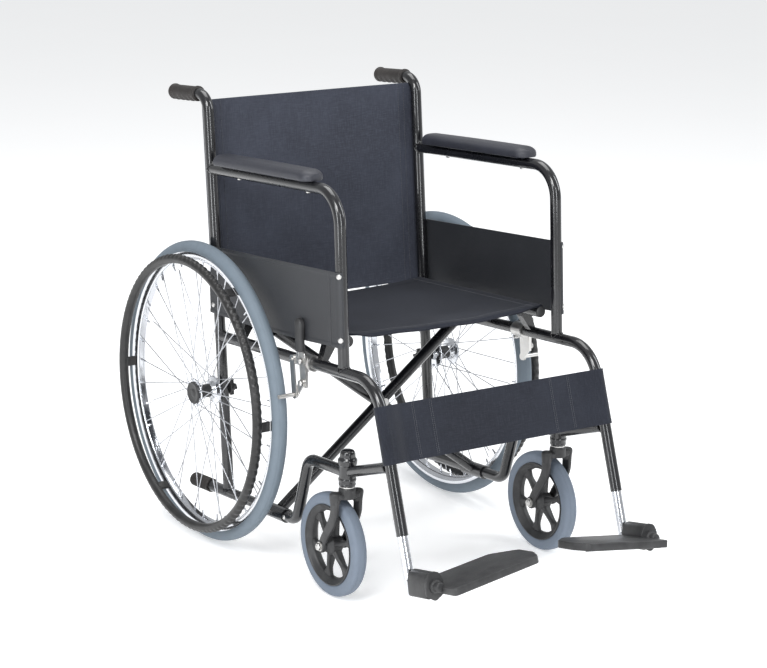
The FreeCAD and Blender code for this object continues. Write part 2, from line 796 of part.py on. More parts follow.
def handrim():
    """Push ring on six tabs from the rim."""
    body = at_wheel("right_handrim")
    section = new_sketch(body, "section", "XY_Plane")
    circle(section, -d.handrim_offset, d.handrim_radius, d.handrim_tube / 2)
    circle(section, -d.handrim_offset, d.handrim_radius, d.handrim_tube / 2 - d.handrim_wall)
    spin(section)
    start = d.rim_width / 2 * 0.6
    reach = d.handrim_offset - start - d.handrim_tube / 4
    middle = (d.handrim_radius + d.rim_radius - d.rim_depth) / 2 + 1
    tab = rod(body, "tab", (-start, -middle, 0), (0, -1, 0), 90, d.tab_radius, reach)
    ring_of(body, [tab], d.handrim_tabs)
    return body


def rear_axle():
    """Axle bolt through hub and cane, with a dark cap outboard and a nut inboard."""
    body = on_frame("right_axle")
    tail = half_tube + 14
    out = half_tube + d.wheel_gap * 2
    rod(body, "shank", (-out, 0, 0), (0, 1, 0), 90, d.axle_radius, out + tail)
    rod(body, "cap", (-out - 1, 0, 0), (0, 1, 0), 90, d.axle_cap, 4.5)
    rod(body, "nut", (half_tube, 0, 0), (0, 1, 0), 90, d.axle_nut, 12)
    return body


# ---------------------------------------------------------------------------- caster
def at_caster(label, trail=None):
    """A body under the right caster stem, or back at its wheel's centre."""
    body = new_body(label)
    if trail is None:
        base = (-half_frame, axle_y - d.caster_forward, 0)
    else:
        base = (-half_frame, axle_y - d.caster_forward + trail, d.caster_radius)
    set_place(body, "Placement", base, (1, 0, 0), 0)
    return body


def caster_fork():
    """Crown plate, stem and two legs raked back to the wheel's bolt."""
    body = at_caster("right_caster_fork")
    inside = d.caster_width / 2 + d.leg_room
    outside = inside + d.leg_thick
    front = d.crown_front
    back = d.crown_back
    top = d.crown_low + d.crown_thick
    crown = new_sketch(body, "crown", "XY_Plane", d.crown_low)
    polygon(
        crown,
        [
            (-outside, -front),
            (outside, -front),
            (outside, back),
            (-outside, back),
        ],
    )
    pad(crown, d.crown_thick)
    foot = d.leg_foot
    for name, lift in (("leg_in", inside), ("leg_out", -outside)):
        leg = new_sketch(body, name, "YZ_Plane", lift)
        polygon(
            leg,
            [
                (-front, top),
                (back, top),
                (d.caster_trail + foot, d.caster_radius + 4),
                (d.caster_trail + foot * 0.6, d.caster_radius - foot),
                (d.caster_trail - foot * 0.6, d.caster_radius - foot),
                (d.caster_trail - foot, d.caster_radius + 4),
            ],
        )
        pad(leg, d.leg_thick)
    rod(body, "stem", (0, 0, top), (1, 0, 0), 0, d.stem_radius, d.head_high - top + 3)
    rod(body, "washer", (0, 0, top), (1, 0, 0), 0, d.head_radius - 1, d.head_low - top - d.apart)
    bolt = bar_x(body, "bolt_hole", 0, d.caster_radius, d.caster_bolt_radius, -60, 120, cut=True)
    bolt.setExpression("AttachmentOffset.Base.y", d.caster_trail.text)
    return body


def caster_bolt():
    """Axle bolt of the caster with its head and nut."""
    body = at_caster("right_caster_bolt", d.caster_trail)
    half = d.caster_width / 2 + d.leg_room + d.leg_thick
    rod(body, "shank", (-half, 0, 0), (0, 1, 0), 90, d.caster_bolt_radius, half * 2)
    rod(body, "head", (-half - d.bolt_head_thick, 0, 0), (0, 1, 0), 90, d.bolt_head,
        d.bolt_head_thick)
    rod(body, "nut", (half, 0, 0), (0, 1, 0), 90, d.bolt_head, d.bolt_head_thick)
    return body


def caster_core():
    """Six-armed plastic core: hub, outer band and arms."""
    body = at_caster("right_caster_core", d.caster_trail)
    section = new_sketch(body, "section", "XY_Plane")
    hub = d.core_hub
    width = d.caster_width / 2 + 6
    inner = d.caster_bolt_radius + d.running
    band = d.caster_width / 2 - 2
    polygon(section, [(-width, inner), (-width, hub - 4), (-8, hub), (8, hub), (width, hub - 4),
                      (width, inner)])
    spin(section)
    outer = new_sketch(body, "band", "XY_Plane")
    depth = d.core_band
    polygon(outer, [(-band, d.caster_rim), (-band, d.caster_rim - 4), (-5, d.caster_rim - depth),
                    (5, d.caster_rim - depth), (band, d.caster_rim - 4), (band, d.caster_rim)])
    spin(outer)
    arm = new_sketch(body, "arm", "YZ_Plane")
    polygon(arm, [(-9, hub - 3), (9, hub - 3), (5, d.caster_rim - depth + 2),
                  (-5, d.caster_rim - depth + 2)])
    bar = pad(arm, 14, both=True)
    ring_of(body, [bar], d.core_arms)
    return body


def caster_tyre():
    body = at_caster("right_caster_tyre", d.caster_trail)
    section = new_sketch(body, "section", "XY_Plane")
    half = d.caster_width / 2
    top = d.caster_radius
    polygon(
        section,
        [
            (-(half * 0.86), d.caster_rim),
            (-half, d.caster_rim + 6),
            (-(half * 0.93), top - 6),
            (-(half * 0.62), top - 1.8),
            (0, top),
            (half * 0.62, top - 1.8),
            (half * 0.93, top - 6),
            (half, d.caster_rim + 6),
            (half * 0.86, d.caster_rim),
        ],
    )
    spin(section)
    return body


# --------------------------------------------------------------------------- footrest
def footrest_tube():
    """Chromed tube sliding in the hanger, with the footplate's pin at its foot."""
    base = frame_point(d.hanger_forward, d.rail_up)
    body = new_body("right_footrest_tube")
    # Local z runs up the hanger's line from its corner.
    set_place(body, "Placement", base, (1, 0, 0), 0)
    down = 180 - d.hanger_rake - d.frame_tilt
    reach = foot_end - d.foot_tube_length
    slope = d.hanger_rake + d.frame_tilt
    start = (0, -(reach * sin(slope)), -(reach * cos(slope)))
    outer = bore - d.running
    rod(body, "tube", start, (1, 0, 0), down, outer, d.foot_tube_length)
    rod(body, "hollow", start, (1, 0, 0), down, outer - 1.5, d.foot_tube_length - 4, cut=True)
    pin = (0, -(pin_along * sin(slope)), -(pin_along * cos(slope)))
    rod(body, "pin", pin, (1, 0, 0), 90 - pitch, d.foot_pin_radius, d.boss_length + 24)
    rod(body, "collar", pin, (1, 0, 0), 90 - pitch, d.foot_pin_radius + 4, outer + 3)
    return body


def footplate():
    """Flip-up plastic plate with its hinge boss round the pin and an end knob."""
    body = new_body("right_footplate")
    base = frame_point(pin_forward, pin_up)
    set_place(body, "Placement", base, (-1, 0, 0), pitch)
    # Local -y runs along the pin and local x inwards, where the plate rises.
    plate = new_sketch(body, "plate", "XY_Plane")
    set_place(plate, "AttachmentOffset", (0, 0, -plate_low), (0, -1, 0), d.plate_lift)
    near = d.plate_near
    reach = d.plate_reach
    front = d.plate_front
    polygon(
        plate,
        [
            (2, -near),
            (reach * 0.8, -near - 4),
            (reach, -(front * 0.44)),
            (reach, -(front * 0.78)),
            (reach - 14, -front),
            (6, -front),
            (2, -front + 5),
        ],
    )
    pad(plate, d.plate_thick)
    block = new_sketch(body, "block", "XZ_Plane", near)
    half = d.boss_half
    shoulder = d.boss_high / 3
    polygon(
        block,
        [
            (-half, -d.boss_low),
            (half, -d.boss_low),
            (half, shoulder),
            (half * 0.7, d.boss_high - 4),
            (0, d.boss_high),
            (-half * 0.7, d.boss_high - 4),
            (-half, shoulder),
        ],
    )
    pad(block, d.boss_length)
    rod(body, "knob", (0, -near - d.boss_length, 0), (1, 0, 0), 90, d.knob_radius,
        d.knob_length)
    bore_radius = d.foot_pin_radius + d.running
    rod(body, "bore", (0, 0, 0), (1, 0, 0), 90, bore_radius, d.boss_length + 28, cut=True)
    return body


# ------------------------------------------------------------------------------ brake
lever_up = d.rail_up + 6
shoe_up = lever_up - d.brake_drop
plate_out = half_tube + d.brake_offset
link_out = plate_out + d.brake_plate + d.apart
rod_forward = d.brake_forward - d.brake_arm * sin(d.brake_arm_angle)
rod_up = shoe_up - d.brake_arm * cos(d.brake_arm_angle)


def brake_bracket():
    """Clamp round the upper rail with the plate that carries both pivots."""
    body = on_frame("right_brake_bracket")
    rod(body, "clamp", (0, -(d.brake_forward - 15), d.rail_up), (1, 0, 0), 90,
        half_tube + 4, 30)
    rod(body, "rail_hole", (0, -(d.brake_forward - 20), d.rail_up), (1, 0, 0), 90,
        half_tube, 40, cut=True)
    outline = new_sketch(body, "plate", "YZ_Plane", -(half_tube + 1.5))
    low = shoe_up - 9
    high = d.rail_up + 16
    polygon(outline, [(-d.brake_forward + 12, high), (-d.brake_forward + 9, low),
                      (-d.brake_forward - 9, low), (-d.brake_forward - 12, high)])
    pad(outline, plate_out - half_tube - 1.5 - d.apart, back=True)
    length = d.brake_plate * 2 + 4
    start = plate_out - 2
    bar_x(body, "lever_pin", d.brake_forward, lever_up, d.brake_pin, start, length)
    bar_x(body, "shoe_pin", d.brake_forward, shoe_up, d.brake_pin, start, length)
    return body


def brake_lever():
    """Hand lever with the crank that pulls the link."""
    body = on_frame("right_brake_lever")
    outline = new_sketch(body, "plate", "YZ_Plane", -plate_out)
    back = -d.brake_forward + d.brake_crank
    polygon(
        outline,
        [
            (back + 6, lever_up - 6),
            (back + 6, lever_up + 6),
            (-d.brake_forward + 10, lever_up + 12),
            (-d.brake_forward + 12, lever_up + 42),
            (-d.brake_forward - 5, lever_up + 42),
            (-d.brake_forward - 10, lever_up - 8),
        ],
    )
    pad(outline, d.brake_plate, back=True)
    hole = d.brake_pin + d.running
    bar_x(body, "pivot", d.brake_forward, lever_up, hole, plate_out - 1, 6, cut=True)
    pin_at = d.brake_forward - d.brake_crank
    bar_x(body, "link_pin", pin_at, lever_up, d.brake_pin - 0.5, plate_out + 1, 7)
    return body


def brake_grip():
    """Plastic handle pushed over the lever."""
    body = on_frame("right_brake_grip")
    outline = new_sketch(body, "section", "XY_Plane", lever_up + d.brake_grip_low)
    out = plate_out + d.brake_plate / 2
    middle = -d.brake_forward + 3
    thin = d.brake_grip_half / 2
    wide = d.brake_grip_half
    flat = wide * 2 / 3
    polygon(
        outline,
        [
            (-out - thin, middle - flat),
            (-out - thin + 3, middle - wide),
            (-out + thin - 2, middle - wide),
            (-out + thin, middle - flat),
            (-out + thin, middle + flat),
            (-out + thin - 2, middle + wide),
            (-out - thin + 3, middle + wide),
            (-out - thin, middle + flat),
        ],
    )
    pad(outline, d.brake_grip_length)
    slot = new_sketch(body, "slot", "YZ_Plane", -plate_out)
    slot_low = lever_up + d.brake_grip_low - 1
    polygon(slot, [(-d.brake_forward + 14, slot_low), (-d.brake_forward + 14, lever_up + 43),
                   (-d.brake_forward - 8, lever_up + 43), (-d.brake_forward - 8, slot_low)])
    pocket(slot, d.brake_plate, both=False, back=False)
    return body


def brake_link():
    """Flat link from the lever's crank to the shoe arm."""
    body = on_frame("right_brake_link")
    outline = new_sketch(body, "bar", "YZ_Plane", -link_out)
    top = (-(d.brake_forward - d.brake_crank), lever_up)
    low = (-rod_forward, rod_up)
    slot_outline(outline, top, low, d.brake_rod + 4)
    pad(outline, 2, back=True)
    hole = d.brake_pin - 0.5 + d.running
    bar_x(body, "pin_hole", d.brake_forward - d.brake_crank, lever_up, hole, link_out - 1, 4,
          cut=True)
    # The open pivot: its hole is wide enough for the rod's small lead and lag.
    bar_x(body, "rod_hole", rod_forward, rod_up, d.brake_rod + 1.6, link_out - 1, 4, cut=True)
    return body


def brake_shoe():
    """Shoe arm on the lower pivot, with the rod that presses on the tyre."""
    body = on_frame("right_brake_shoe")
    outline = new_sketch(body, "arm", "YZ_Plane", -plate_out)
    slot_outline(outline, (-d.brake_forward, shoe_up), (-rod_forward, rod_up), Dim.of(7))
    pad(outline, d.brake_plate, back=True)
    hole = d.brake_pin + d.running
    bar_x(body, "pivot", d.brake_forward, shoe_up, hole, plate_out - 1, 6, cut=True)
    reach = d.wheel_gap + d.tyre_section / 2 + half_tube - plate_out - 1
    bar_x(body, "rod", rod_forward, rod_up, d.brake_rod, plate_out + 1, reach)
    return body


# --------------------------------------------------------------------- cross brace
def cross_tube(label, way, shift):
    """One scissor tube from its hinge sleeve on a lower rail to a seat rail.

    way is 1 for the tube that starts on the right side and -1 for the other."""
    body = on_frame(label, base=frame_point(d.cross_forward + shift, pivot_up, Dim.of(0)))
    # Local x runs across the chair, and the centre pivot is the origin.
    tilt = 90 - d.cross_angle
    low = lower_half - half_tube - d.sleeve_wall + 2
    base = (-way * (low * cos(d.cross_angle)), 0, -(low * sin(d.cross_angle)))
    length = low + upper_half - half_tube - d.apart
    rod(body, "tube", base, (0, way, 0), tilt, half_tube, length)
    hinge_x = -way * half_frame
    hinge_z = -(lower_half * sin(d.cross_angle))
    half = d.sleeve_length / 2
    outer = half_tube + d.running + d.sleeve_wall
    rod(body, "sleeve", (hinge_x, half, hinge_z), (1, 0, 0), 90, outer, d.sleeve_length)
    rod(body, "hollow", base, (0, way, 0), tilt, bore, length, cut=True)
    inner = half_tube + d.running
    rod(body, "rail_hole", (hinge_x, half + 5, hinge_z), (1, 0, 0), 90, inner,
        d.sleeve_length + 10, cut=True)
    rod(body, "pivot_hole", (0, 30, 0), (1, 0, 0), 90, d.cross_bolt + d.running, 60, cut=True)
    return body


def seat_rail(label, way):
    """Seat rail on the top of a cross tube, along the side of the seat."""
    body = on_frame(label, base=frame_point(Dim.of(0), d.seat_up, Dim.of(0)))
    start = (way * seat_x, -d.seat_back, 0)
    length = d.seat_front - d.seat_back
    rod(body, "tube", start, (1, 0, 0), 90, half_tube, length)
    rod(body, "hollow", start, (1, 0, 0), 90, bore, length, cut=True)
    return body


def pivot_bolt():
    """Bolt through both cross tubes where they cross."""
    body = on_frame("pivot_bolt", base=frame_point(d.cross_forward, pivot_up, Dim.of(0)))
    half = d.cross_spread / 2 + half_tube
    clear = half + d.apart
    rod(body, "shank", (0, clear + 1, 0), (1, 0, 0), 90, d.cross_bolt, clear * 2 + 2)
    rod(body, "head", (0, clear + d.cross_head_thick, 0), (1, 0, 0), 90, d.cross_head,
        d.cross_head_thick)
    rod(body, "nut", (0, -clear, 0), (1, 0, 0), 90, d.cross_head, d.cross_head_thick)
    return body


# --------------------------------------------------------------------------- slings
def cloth(label, place, half_width, low, high, turn, depth):
    """A flat sling: a sheet across the chair between two places up its own frame."""
    body = on_frame(label, turn, base=place)
    outline = new_sketch(body, "outline", "XZ_Plane", depth)
    polygon(outline, [(-half_width, low), (half_width, low), (half_width, high),
                      (-half_width, high)])
    pad(outline, d.seat_cloth, both=True)
    return body


def seat_sling():
    body = on_frame("seat_sling", base=frame_point(Dim.of(0), d.seat_up, Dim.of(0)))
    outline = new_sketch(body, "outline", "XY_Plane", half_tube + d.apart)
    half = seat_x + half_tube
    front = -d.seat_front
    back = -d.seat_back
    polygon(outline, [(-half, back), (half, back), (half, front), (-half, front)])
    pad(outline, d.seat_cloth)
    return body


def back_sling():
    place = (Dim.of(0), axle_y, d.wheel_radius)
    half = d.seat_width / 2 - d.apart
    turn = d.frame_tilt + d.cane_lean
    return cloth("back_sling", place, half, d.back_low, d.back_high, turn, Dim.of(0))


def calf_strap():
    """Leg strap between the hangers, in their plane."""
    body = new_body("calf_strap")
    base = frame_point(d.hanger_forward, d.rail_up, Dim.of(0))
    set_place(body, "Placement", base, (1, 0, 0), d.hanger_rake + d.frame_tilt)
    outline = new_sketch(body, "outline", "XZ_Plane")
    half = d.seat_width / 2 - d.apart
    polygon(outline, [(-half, -d.strap_low), (half, -d.strap_low), (half, -d.strap_high),
                      (-half, -d.strap_high)])
    pad(outline, d.seat_cloth, both=True)
    return body


# ------------------------------------------------------------------------- assembly
RIGHT = [
    back_cane, push_grip, arm_tube, upper_rail, lower_rail, tip_cap, caster_head, arm_pad,
    side_panel, rear_tyre, rear_rim, rear_hub, spokes, handrim, rear_axle, caster_fork,
    caster_bolt, caster_core, caster_tyre, footrest_tube, footplate, brake_bracket,
    brake_lever, brake_grip, brake_link, brake_shoe,
]
pieces = []
for make in RIGHT:
    pieces.append(make())
    doc.recompute()

for source in list(pieces):
    label = source.Label.replace("right_", "left_", 1)
    mirrored = doc.addObject("Part::Mirroring", label)
    mirrored.Source = source
    mirrored.Normal = (1, 0, 0)
    mirrored.Base = (0, 0, 0)
    mirrored.Label = label
    pieces.append(mirrored)

half_spread = d.cross_spread / 2
pieces += [
    cross_tube("cross_a", 1, half_spread),
    cross_tube("cross_b", -1, -half_spread),
    seat_rail("seat_rail_a", 1),
    seat_rail("seat_rail_b", -1),
    pivot_bolt(),
    seat_sling(),
    back_sling(),
    calf_strap(),
]
doc.recompute()

# --------------------------------------------------------------------------- writing
broken = [item.Label for item in doc.Objects if {"Invalid", "Error"} & set(item.State)]
for piece in pieces:
    if piece.Shape.isNull() or not piece.Shape.isValid():
        broken.append(piece.Label)
if broken:
    raise SystemExit("these did not build: " + ", ".join(broken))
os.makedirs("parts", exist_ok=True)
for piece in pieces:
    piece.Shape.exportStep("parts/%s.step" % piece.Label)
print("wrote %d nodes" % len(pieces))
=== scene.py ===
"""Folding manual wheelchair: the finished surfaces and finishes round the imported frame.

Lengths in the shape functions are millimetres. The right side of the chair is at -X and
is the side that is drawn; the left side is the same shapes mirrored.
"""

import json
import math

import bpy
import numpy as np
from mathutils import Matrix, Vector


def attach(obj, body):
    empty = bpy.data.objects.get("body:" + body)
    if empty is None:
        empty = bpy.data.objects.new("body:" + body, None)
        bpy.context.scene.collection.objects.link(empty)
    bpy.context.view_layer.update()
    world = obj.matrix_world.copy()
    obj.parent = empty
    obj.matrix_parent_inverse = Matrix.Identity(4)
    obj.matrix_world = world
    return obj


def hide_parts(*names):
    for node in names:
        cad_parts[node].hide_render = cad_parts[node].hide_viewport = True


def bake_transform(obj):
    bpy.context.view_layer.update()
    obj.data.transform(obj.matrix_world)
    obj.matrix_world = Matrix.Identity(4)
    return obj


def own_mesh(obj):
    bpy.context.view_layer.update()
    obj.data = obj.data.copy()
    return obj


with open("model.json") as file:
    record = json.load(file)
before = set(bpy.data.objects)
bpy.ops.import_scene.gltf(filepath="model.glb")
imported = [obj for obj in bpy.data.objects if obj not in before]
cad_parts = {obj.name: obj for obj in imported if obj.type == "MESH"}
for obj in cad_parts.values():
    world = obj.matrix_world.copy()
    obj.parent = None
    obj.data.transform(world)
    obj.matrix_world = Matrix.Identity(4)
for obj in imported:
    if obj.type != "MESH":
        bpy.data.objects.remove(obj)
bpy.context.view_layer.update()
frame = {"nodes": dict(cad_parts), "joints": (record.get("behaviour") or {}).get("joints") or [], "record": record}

MM = 0.001
X, Y, Z = np.eye(3)
JOINTS = {joint["name"]: joint for joint in frame["joints"]}


def joint_place(name):
    return np.array(JOINTS[name]["pos_m"], float)


# The level side frame is tipped about the rear axle: ahead and above are its own axes.
AHEAD = np.array(JOINTS["fold"]["axis"], float)
ABOVE = np.array([0.0, AHEAD[2], -AHEAD[1]])
WHEEL = joint_place("right_wheel_turn")
AXLE = WHEEL * (0, 1, 1)
STEM = joint_place("right_caster_swivel") * (1, 1, 0)
CASTER = joint_place("right_caster_turn")
PLATE_PIN = joint_place("right_footplate_flip")
# Side frame and seat rail, from the middle; the radius of their tubes.
SIDE = 246.5
SEAT_RAIL = 222.5
TUBE = 11.0


def turned(along, across, degrees):
    """Two square directions, both turned by an angle from the first towards the second."""
    angle = math.radians(degrees)
    first = along * math.cos(angle) + across * math.sin(angle)
    second = across * math.cos(angle) - along * math.sin(angle)
    return first, second


# The back cane leans back, and the hanger rakes forward on its way down.
CANE_UP, CANE_AHEAD = turned(ABOVE, -AHEAD, 1.8)
CANE_AHEAD = -CANE_AHEAD
HANGER_DOWN, HANGER_AHEAD = turned(-ABOVE, AHEAD, 14.9)


def spread(origin, axes, *amounts):
    """Points at origin plus each amount along its own axis; the amounts are millimetres."""
    amounts = np.broadcast_arrays(*[np.asarray(a, float) for a in amounts])
    total = np.zeros(amounts[0].shape + (3,)) + np.asarray(origin, float)
    for amount, axis in zip(amounts, axes):
        total = total + MM * amount[..., None] * np.asarray(axis, float)
    return total


def level(x, ahead, above):
    """A place of the tipped side frame: across the chair, ahead of and above the axle."""
    return spread(AXLE, (X, AHEAD, ABOVE), x, ahead, above)


HANGER_CORNER = level(0, 558, 106)


# ------------------------------------------------------------------ shapes as grids
class Shell:
    """Closed surfaces gathered into one piece's mesh."""

    def __init__(self):
        self.points = []
        self.faces = []
        self.count = 0

    def add(self, points, faces):
        self.points.append(points)
        self.faces.append([face + self.count for face in faces])
        self.count += len(points)
        return self

    def grid(self, points, ring=False):
        """Quads over a grid whose columns run round a closed outline.

        Rows join up into a ring, or else each end row is closed by one flat face. The
        sign of the enclosed volume, the sum of corner triple products, says which way
        the faces look, and they are turned to look outwards."""
        rows, columns = points.shape[:2]
        flat = points.reshape(-1, 3)
        i = np.arange(rows if ring else rows - 1)[:, None]
        j = np.arange(columns)[None, :]
        after_i, after_j = (i + 1) % rows, (j + 1) % columns
        corners = [i * columns + j, after_i * columns + j, after_i * columns + after_j,
                   i * columns + after_j]
        quads = np.stack(np.broadcast_arrays(*corners), -1).reshape(-1, 4)
        low = flat - flat.mean(0)
        a, b, c, e = (low[quads[:, k]] for k in range(4))
        volume = (a * np.cross(b, c)).sum() + (a * np.cross(c, e)).sum()
        ends = [] if ring else [np.arange(columns), np.arange(columns)[::-1] + (rows - 1) * columns]
        for end in ends:
            fan = low[end]
            volume += (fan[0] * np.cross(fan[1:-1], fan[2:])).sum()
        faces = [quads] + [end[None, :] for end in ends]
        if volume < 0:
            faces = [face[:, ::-1] for face in faces]
        return self.add(flat, faces)

    def copies(self, grid, turns, centre, axis, ring=False):
        """The same grid turned about an axis by each of several angles, in degrees."""
        for turn in turns:
            self.grid(revolved(grid, centre, axis, turn), ring)
        return self

    def mirrored(self):
        """The same piece on the other side: x changes sign, so faces are read backwards."""
        other = Shell()
        other.points = [points * (-1, 1, 1) for points in self.points]
        other.faces = [[face[:, ::-1] for face in faces] for faces in self.faces]
        other.count = self.count
        return other


def revolved(points, centre, axis, degrees):
    """Points turned about an axis through centre, by Rodrigues' formula."""
    axis = np.asarray(axis, float)
    angle = math.radians(degrees)
    arm = points - centre
    along = (arm @ axis)[..., None] * axis
    return (centre + arm * math.cos(angle) + np.cross(axis, arm) * math.sin(angle)
            + along * (1 - math.cos(angle)))


def square_to(axis):
    """Two directions square to an axis and to each other."""
    axis = np.asarray(axis, float)
    helper = X if abs(axis[0]) < 0.9 else Z
    first = np.cross(axis, helper)
    first = first / np.linalg.norm(first)
    return first, np.cross(axis, first)


def lathe(profile, centre, axis, count=32, waves=None):
    """A profile of (along, radius) carried round an axis: rows follow the profile.

    waves may add to the radius, as a function of along and the angle round."""
    profile = np.asarray(profile, float)
    angle = np.linspace(0, 2 * math.pi, count, endpoint=False)[None, :]
    along, radius = profile[:, :1] + 0 * angle, profile[:, 1:] + 0 * angle
    if waves is not None:
        radius = radius + waves(along, radius, angle + 0 * radius)
    first, second = square_to(axis)
    return spread(centre, (axis, first, second), along, radius * np.cos(angle),
                  radius * np.sin(angle))


def rounded(corners, radius, steps=5, closed=True):
    """An outline whose corners give way to short parabolas, each starting and ending
    radius from its corner, or nearly half an edge where the edge is short."""
    corners = np.asarray(corners, float)
    radius = np.broadcast_to(np.asarray(radius, float), (len(corners),))[:, None]
    steps = np.linspace(0, 1, steps)[None, :, None]

    def cut(other):
        arm = other - corners
        length = np.linalg.norm(arm, axis=1, keepdims=True)
        return corners + arm / length * np.minimum(radius, 0.48 * length)

    start, end = cut(np.roll(corners, 1, 0)), cut(np.roll(corners, -1, 0))
    if not closed:
        start[0] = end[0] = corners[0]
        start[-1] = end[-1] = corners[-1]
    curve = ((1 - steps) ** 2 * start[:, None] + 2 * steps * (1 - steps) * corners[:, None]
             + steps ** 2 * end[:, None])
    if not closed:
        return np.concatenate([curve[0, :1], curve[1:-1].reshape(-1, corners.shape[1]),
                               curve[-1, :1]])
    return curve.reshape(-1, corners.shape[1])


def pulled_in(outline, amount):
    """A closed outline moved inwards by an amount along its own normals."""
    before, after = np.roll(outline, 1, 0), np.roll(outline, -1, 0)
    run = after - before
    normal = np.stack([run[:, 1], -run[:, 0]], -1)
    normal /= np.linalg.norm(normal, axis=1, keepdims=True) + 1e-9
    area = (outline[:, 0] * after[:, 1] - outline[:, 1] * after[:, 0]).sum()
    return outline - math.copysign(amount, area) * normal


def slab(outline, low, high, edge, origin, axes, steps=4):
    """A plate: one outline stacked from low to high, pulled in at both faces along a
    quarter circle of radius edge. axes are the outline's two and the thickness's."""
    outline = np.asarray(outline, float)
    angle = np.linspace(0, math.pi / 2, steps)
    inset = edge * (1 - np.sin(angle))
    rise = edge * (1 - np.cos(angle))
    heights = np.concatenate([low + rise, high - rise[::-1]])
    insets = np.concatenate([inset, inset[::-1]])
    rows = [spread(origin, axes, *pulled_in(outline, i).T, h) for i, h in zip(insets, heights)]
    return np.stack(rows)


def swept(path, section, across):
    """A section carried along a path: its first axis stays on the given direction and
    its second is square to that and to the path. The section may change along the way."""
    path = np.asarray(path, float)
    ahead = np.gradient(path, axis=0)
    ahead /= np.linalg.norm(ahead, axis=1, keepdims=True)
    across = np.asarray(across, float) + 0 * path
    across = across - (across * ahead).sum(1, keepdims=True) * ahead
    across /= np.linalg.norm(across, axis=1, keepdims=True)
    up = np.cross(ahead, across)
    section = np.asarray(section, float)
    if section.ndim == 2:
        section = np.broadcast_to(section, (len(path),) + section.shape)
    return (path[:, None] + MM * section[..., :1] * across[:, None]
            + MM * section[..., 1:] * up[:, None])


def smooth(value, low, high):
    """0 below low, 1 above high and an easy curve between."""
    t = np.clip((np.asarray(value, float) - low) / (high - low), 0, 1)
    return t * t * (3 - 2 * t)


# ----------------------------------------------------------------- finishes (materials)
class Value:
    """A node's output. Arithmetic on it adds Math nodes to the same material."""

    def __init__(self, finish, socket):
        self.finish = finish
        self.socket = socket

    def sum(self, operation, first, second):
        return self.finish.node("Math", {"operation": operation}, (first, second))

    def __add__(self, other):
        return self.sum("ADD", self, other)

    def __radd__(self, other):
        return self.sum("ADD", other, self)

    def __sub__(self, other):
        return self.sum("SUBTRACT", self, other)

    def __rsub__(self, other):
        return self.sum("SUBTRACT", other, self)

    def __mul__(self, other):
        return self.sum("MULTIPLY", self, other)

    def __rmul__(self, other):
        return self.sum("MULTIPLY", other, self)

    def __truediv__(self, other):
        return self.sum("DIVIDE", self, other)

    def __rtruediv__(self, other):
        return self.sum("DIVIDE", other, self)

    def __pow__(self, other):
        return self.sum("POWER", self, other)

    def clear(self, low, high):
        """0 below low and 1 above high."""
        return self.finish.node("MapRange", {"interpolation_type": "SMOOTHSTEP"},
                                (self, low, high, 0.0, 1.0))


class Finish:
    """A material: its main shader and the nodes that feed it."""

    def __init__(self, name, **settings):
        self.material = bpy.data.materials.new(name)
        self.material.use_nodes = True
        self.tree = self.material.node_tree
        self.shader = self.tree.nodes["Principled BSDF"]
        for key, value in settings.items():
            self.shader.inputs[key.replace("_", " ")].default_value = value

    def feed(self, socket, value):
        if isinstance(value, Value):
            self.tree.links.new(value.socket, socket)
        elif hasattr(socket.default_value, "__len__") and len(value) == 3 and len(
                socket.default_value) == 4:
            socket.default_value = (*value, 1.0)
        else:
            socket.default_value = value

    def node(self, kind, settings=None, inputs=(), out=0):
        """A node of that type, its settings first and then its sockets' values or links."""
        made = self.tree.nodes.new("ShaderNode" + kind)
        for key, value in (settings or {}).items():
            if key == "stops":
                marks = made.color_ramp.elements
                while len(marks) < len(value):
                    marks.new(0.5)
                for mark, (place, colour) in zip(marks, value):
                    mark.position = place
                    mark.color = (*colour, 1.0)
            else:
                setattr(made, key, value)
        pairs = inputs.items() if isinstance(inputs, dict) else enumerate(inputs)
        for key, value in pairs:
            self.feed(made.inputs[key], value)
        return Value(self, made.outputs[out])

    def place(self, scale=(1, 1, 1)):
        """Object coordinates in metres, scaled along each axis."""
        spot = self.node("TexCoord", out="Object")
        return self.node("VectorMath", {"operation": "MULTIPLY"}, (spot, scale))

    def part(self, vector, axis):
        return self.node("SeparateXYZ", None, (vector,), out=axis)

    def noise(self, scale, detail=3.0, rough=0.5, vector=None):
        spot = vector or self.place()
        return self.node("TexNoise", {"noise_dimensions": "3D"},
                         {"Vector": spot, "Scale": scale, "Detail": detail, "Roughness": rough})

    def mix(self, share, first, second):
        """A colour between two, by a share."""
        return self.node("Mix", {"data_type": "RGBA"}, {0: share, 6: first, 7: second}, out=2)

    def bump(self, height, depth, strength=1.0):
        return self.node("Bump", None, {"Height": height, "Distance": depth,
                                        "Strength": strength})

    def finish(self, **links):
        for key, value in links.items():
            self.feed(self.shader.inputs[key.replace("_", " ")], value)
        return self.material


def paint_black():
    """Gloss black powder coat: a faint orange peel, a little dust and soft scuffs."""
    f = Finish("frame_paint", Specular_IOR_Level=0.4, Coat_Weight=0.9, Coat_Roughness=0.05)
    peel = f.noise(420.0, 2.0)
    cloud = f.noise(14.0, 4.0, 0.6)
    scuff = f.noise(90.0, 5.0, 0.75).clear(0.6, 0.78)
    colour = f.mix(cloud.clear(0.35, 0.8), (0.003, 0.003, 0.004), (0.007, 0.007, 0.009))
    return f.finish(Base_Color=colour, Roughness=0.2 + cloud * 0.16 + scuff * 0.14,
                    Normal=f.bump(peel, 0.0002, 0.25))


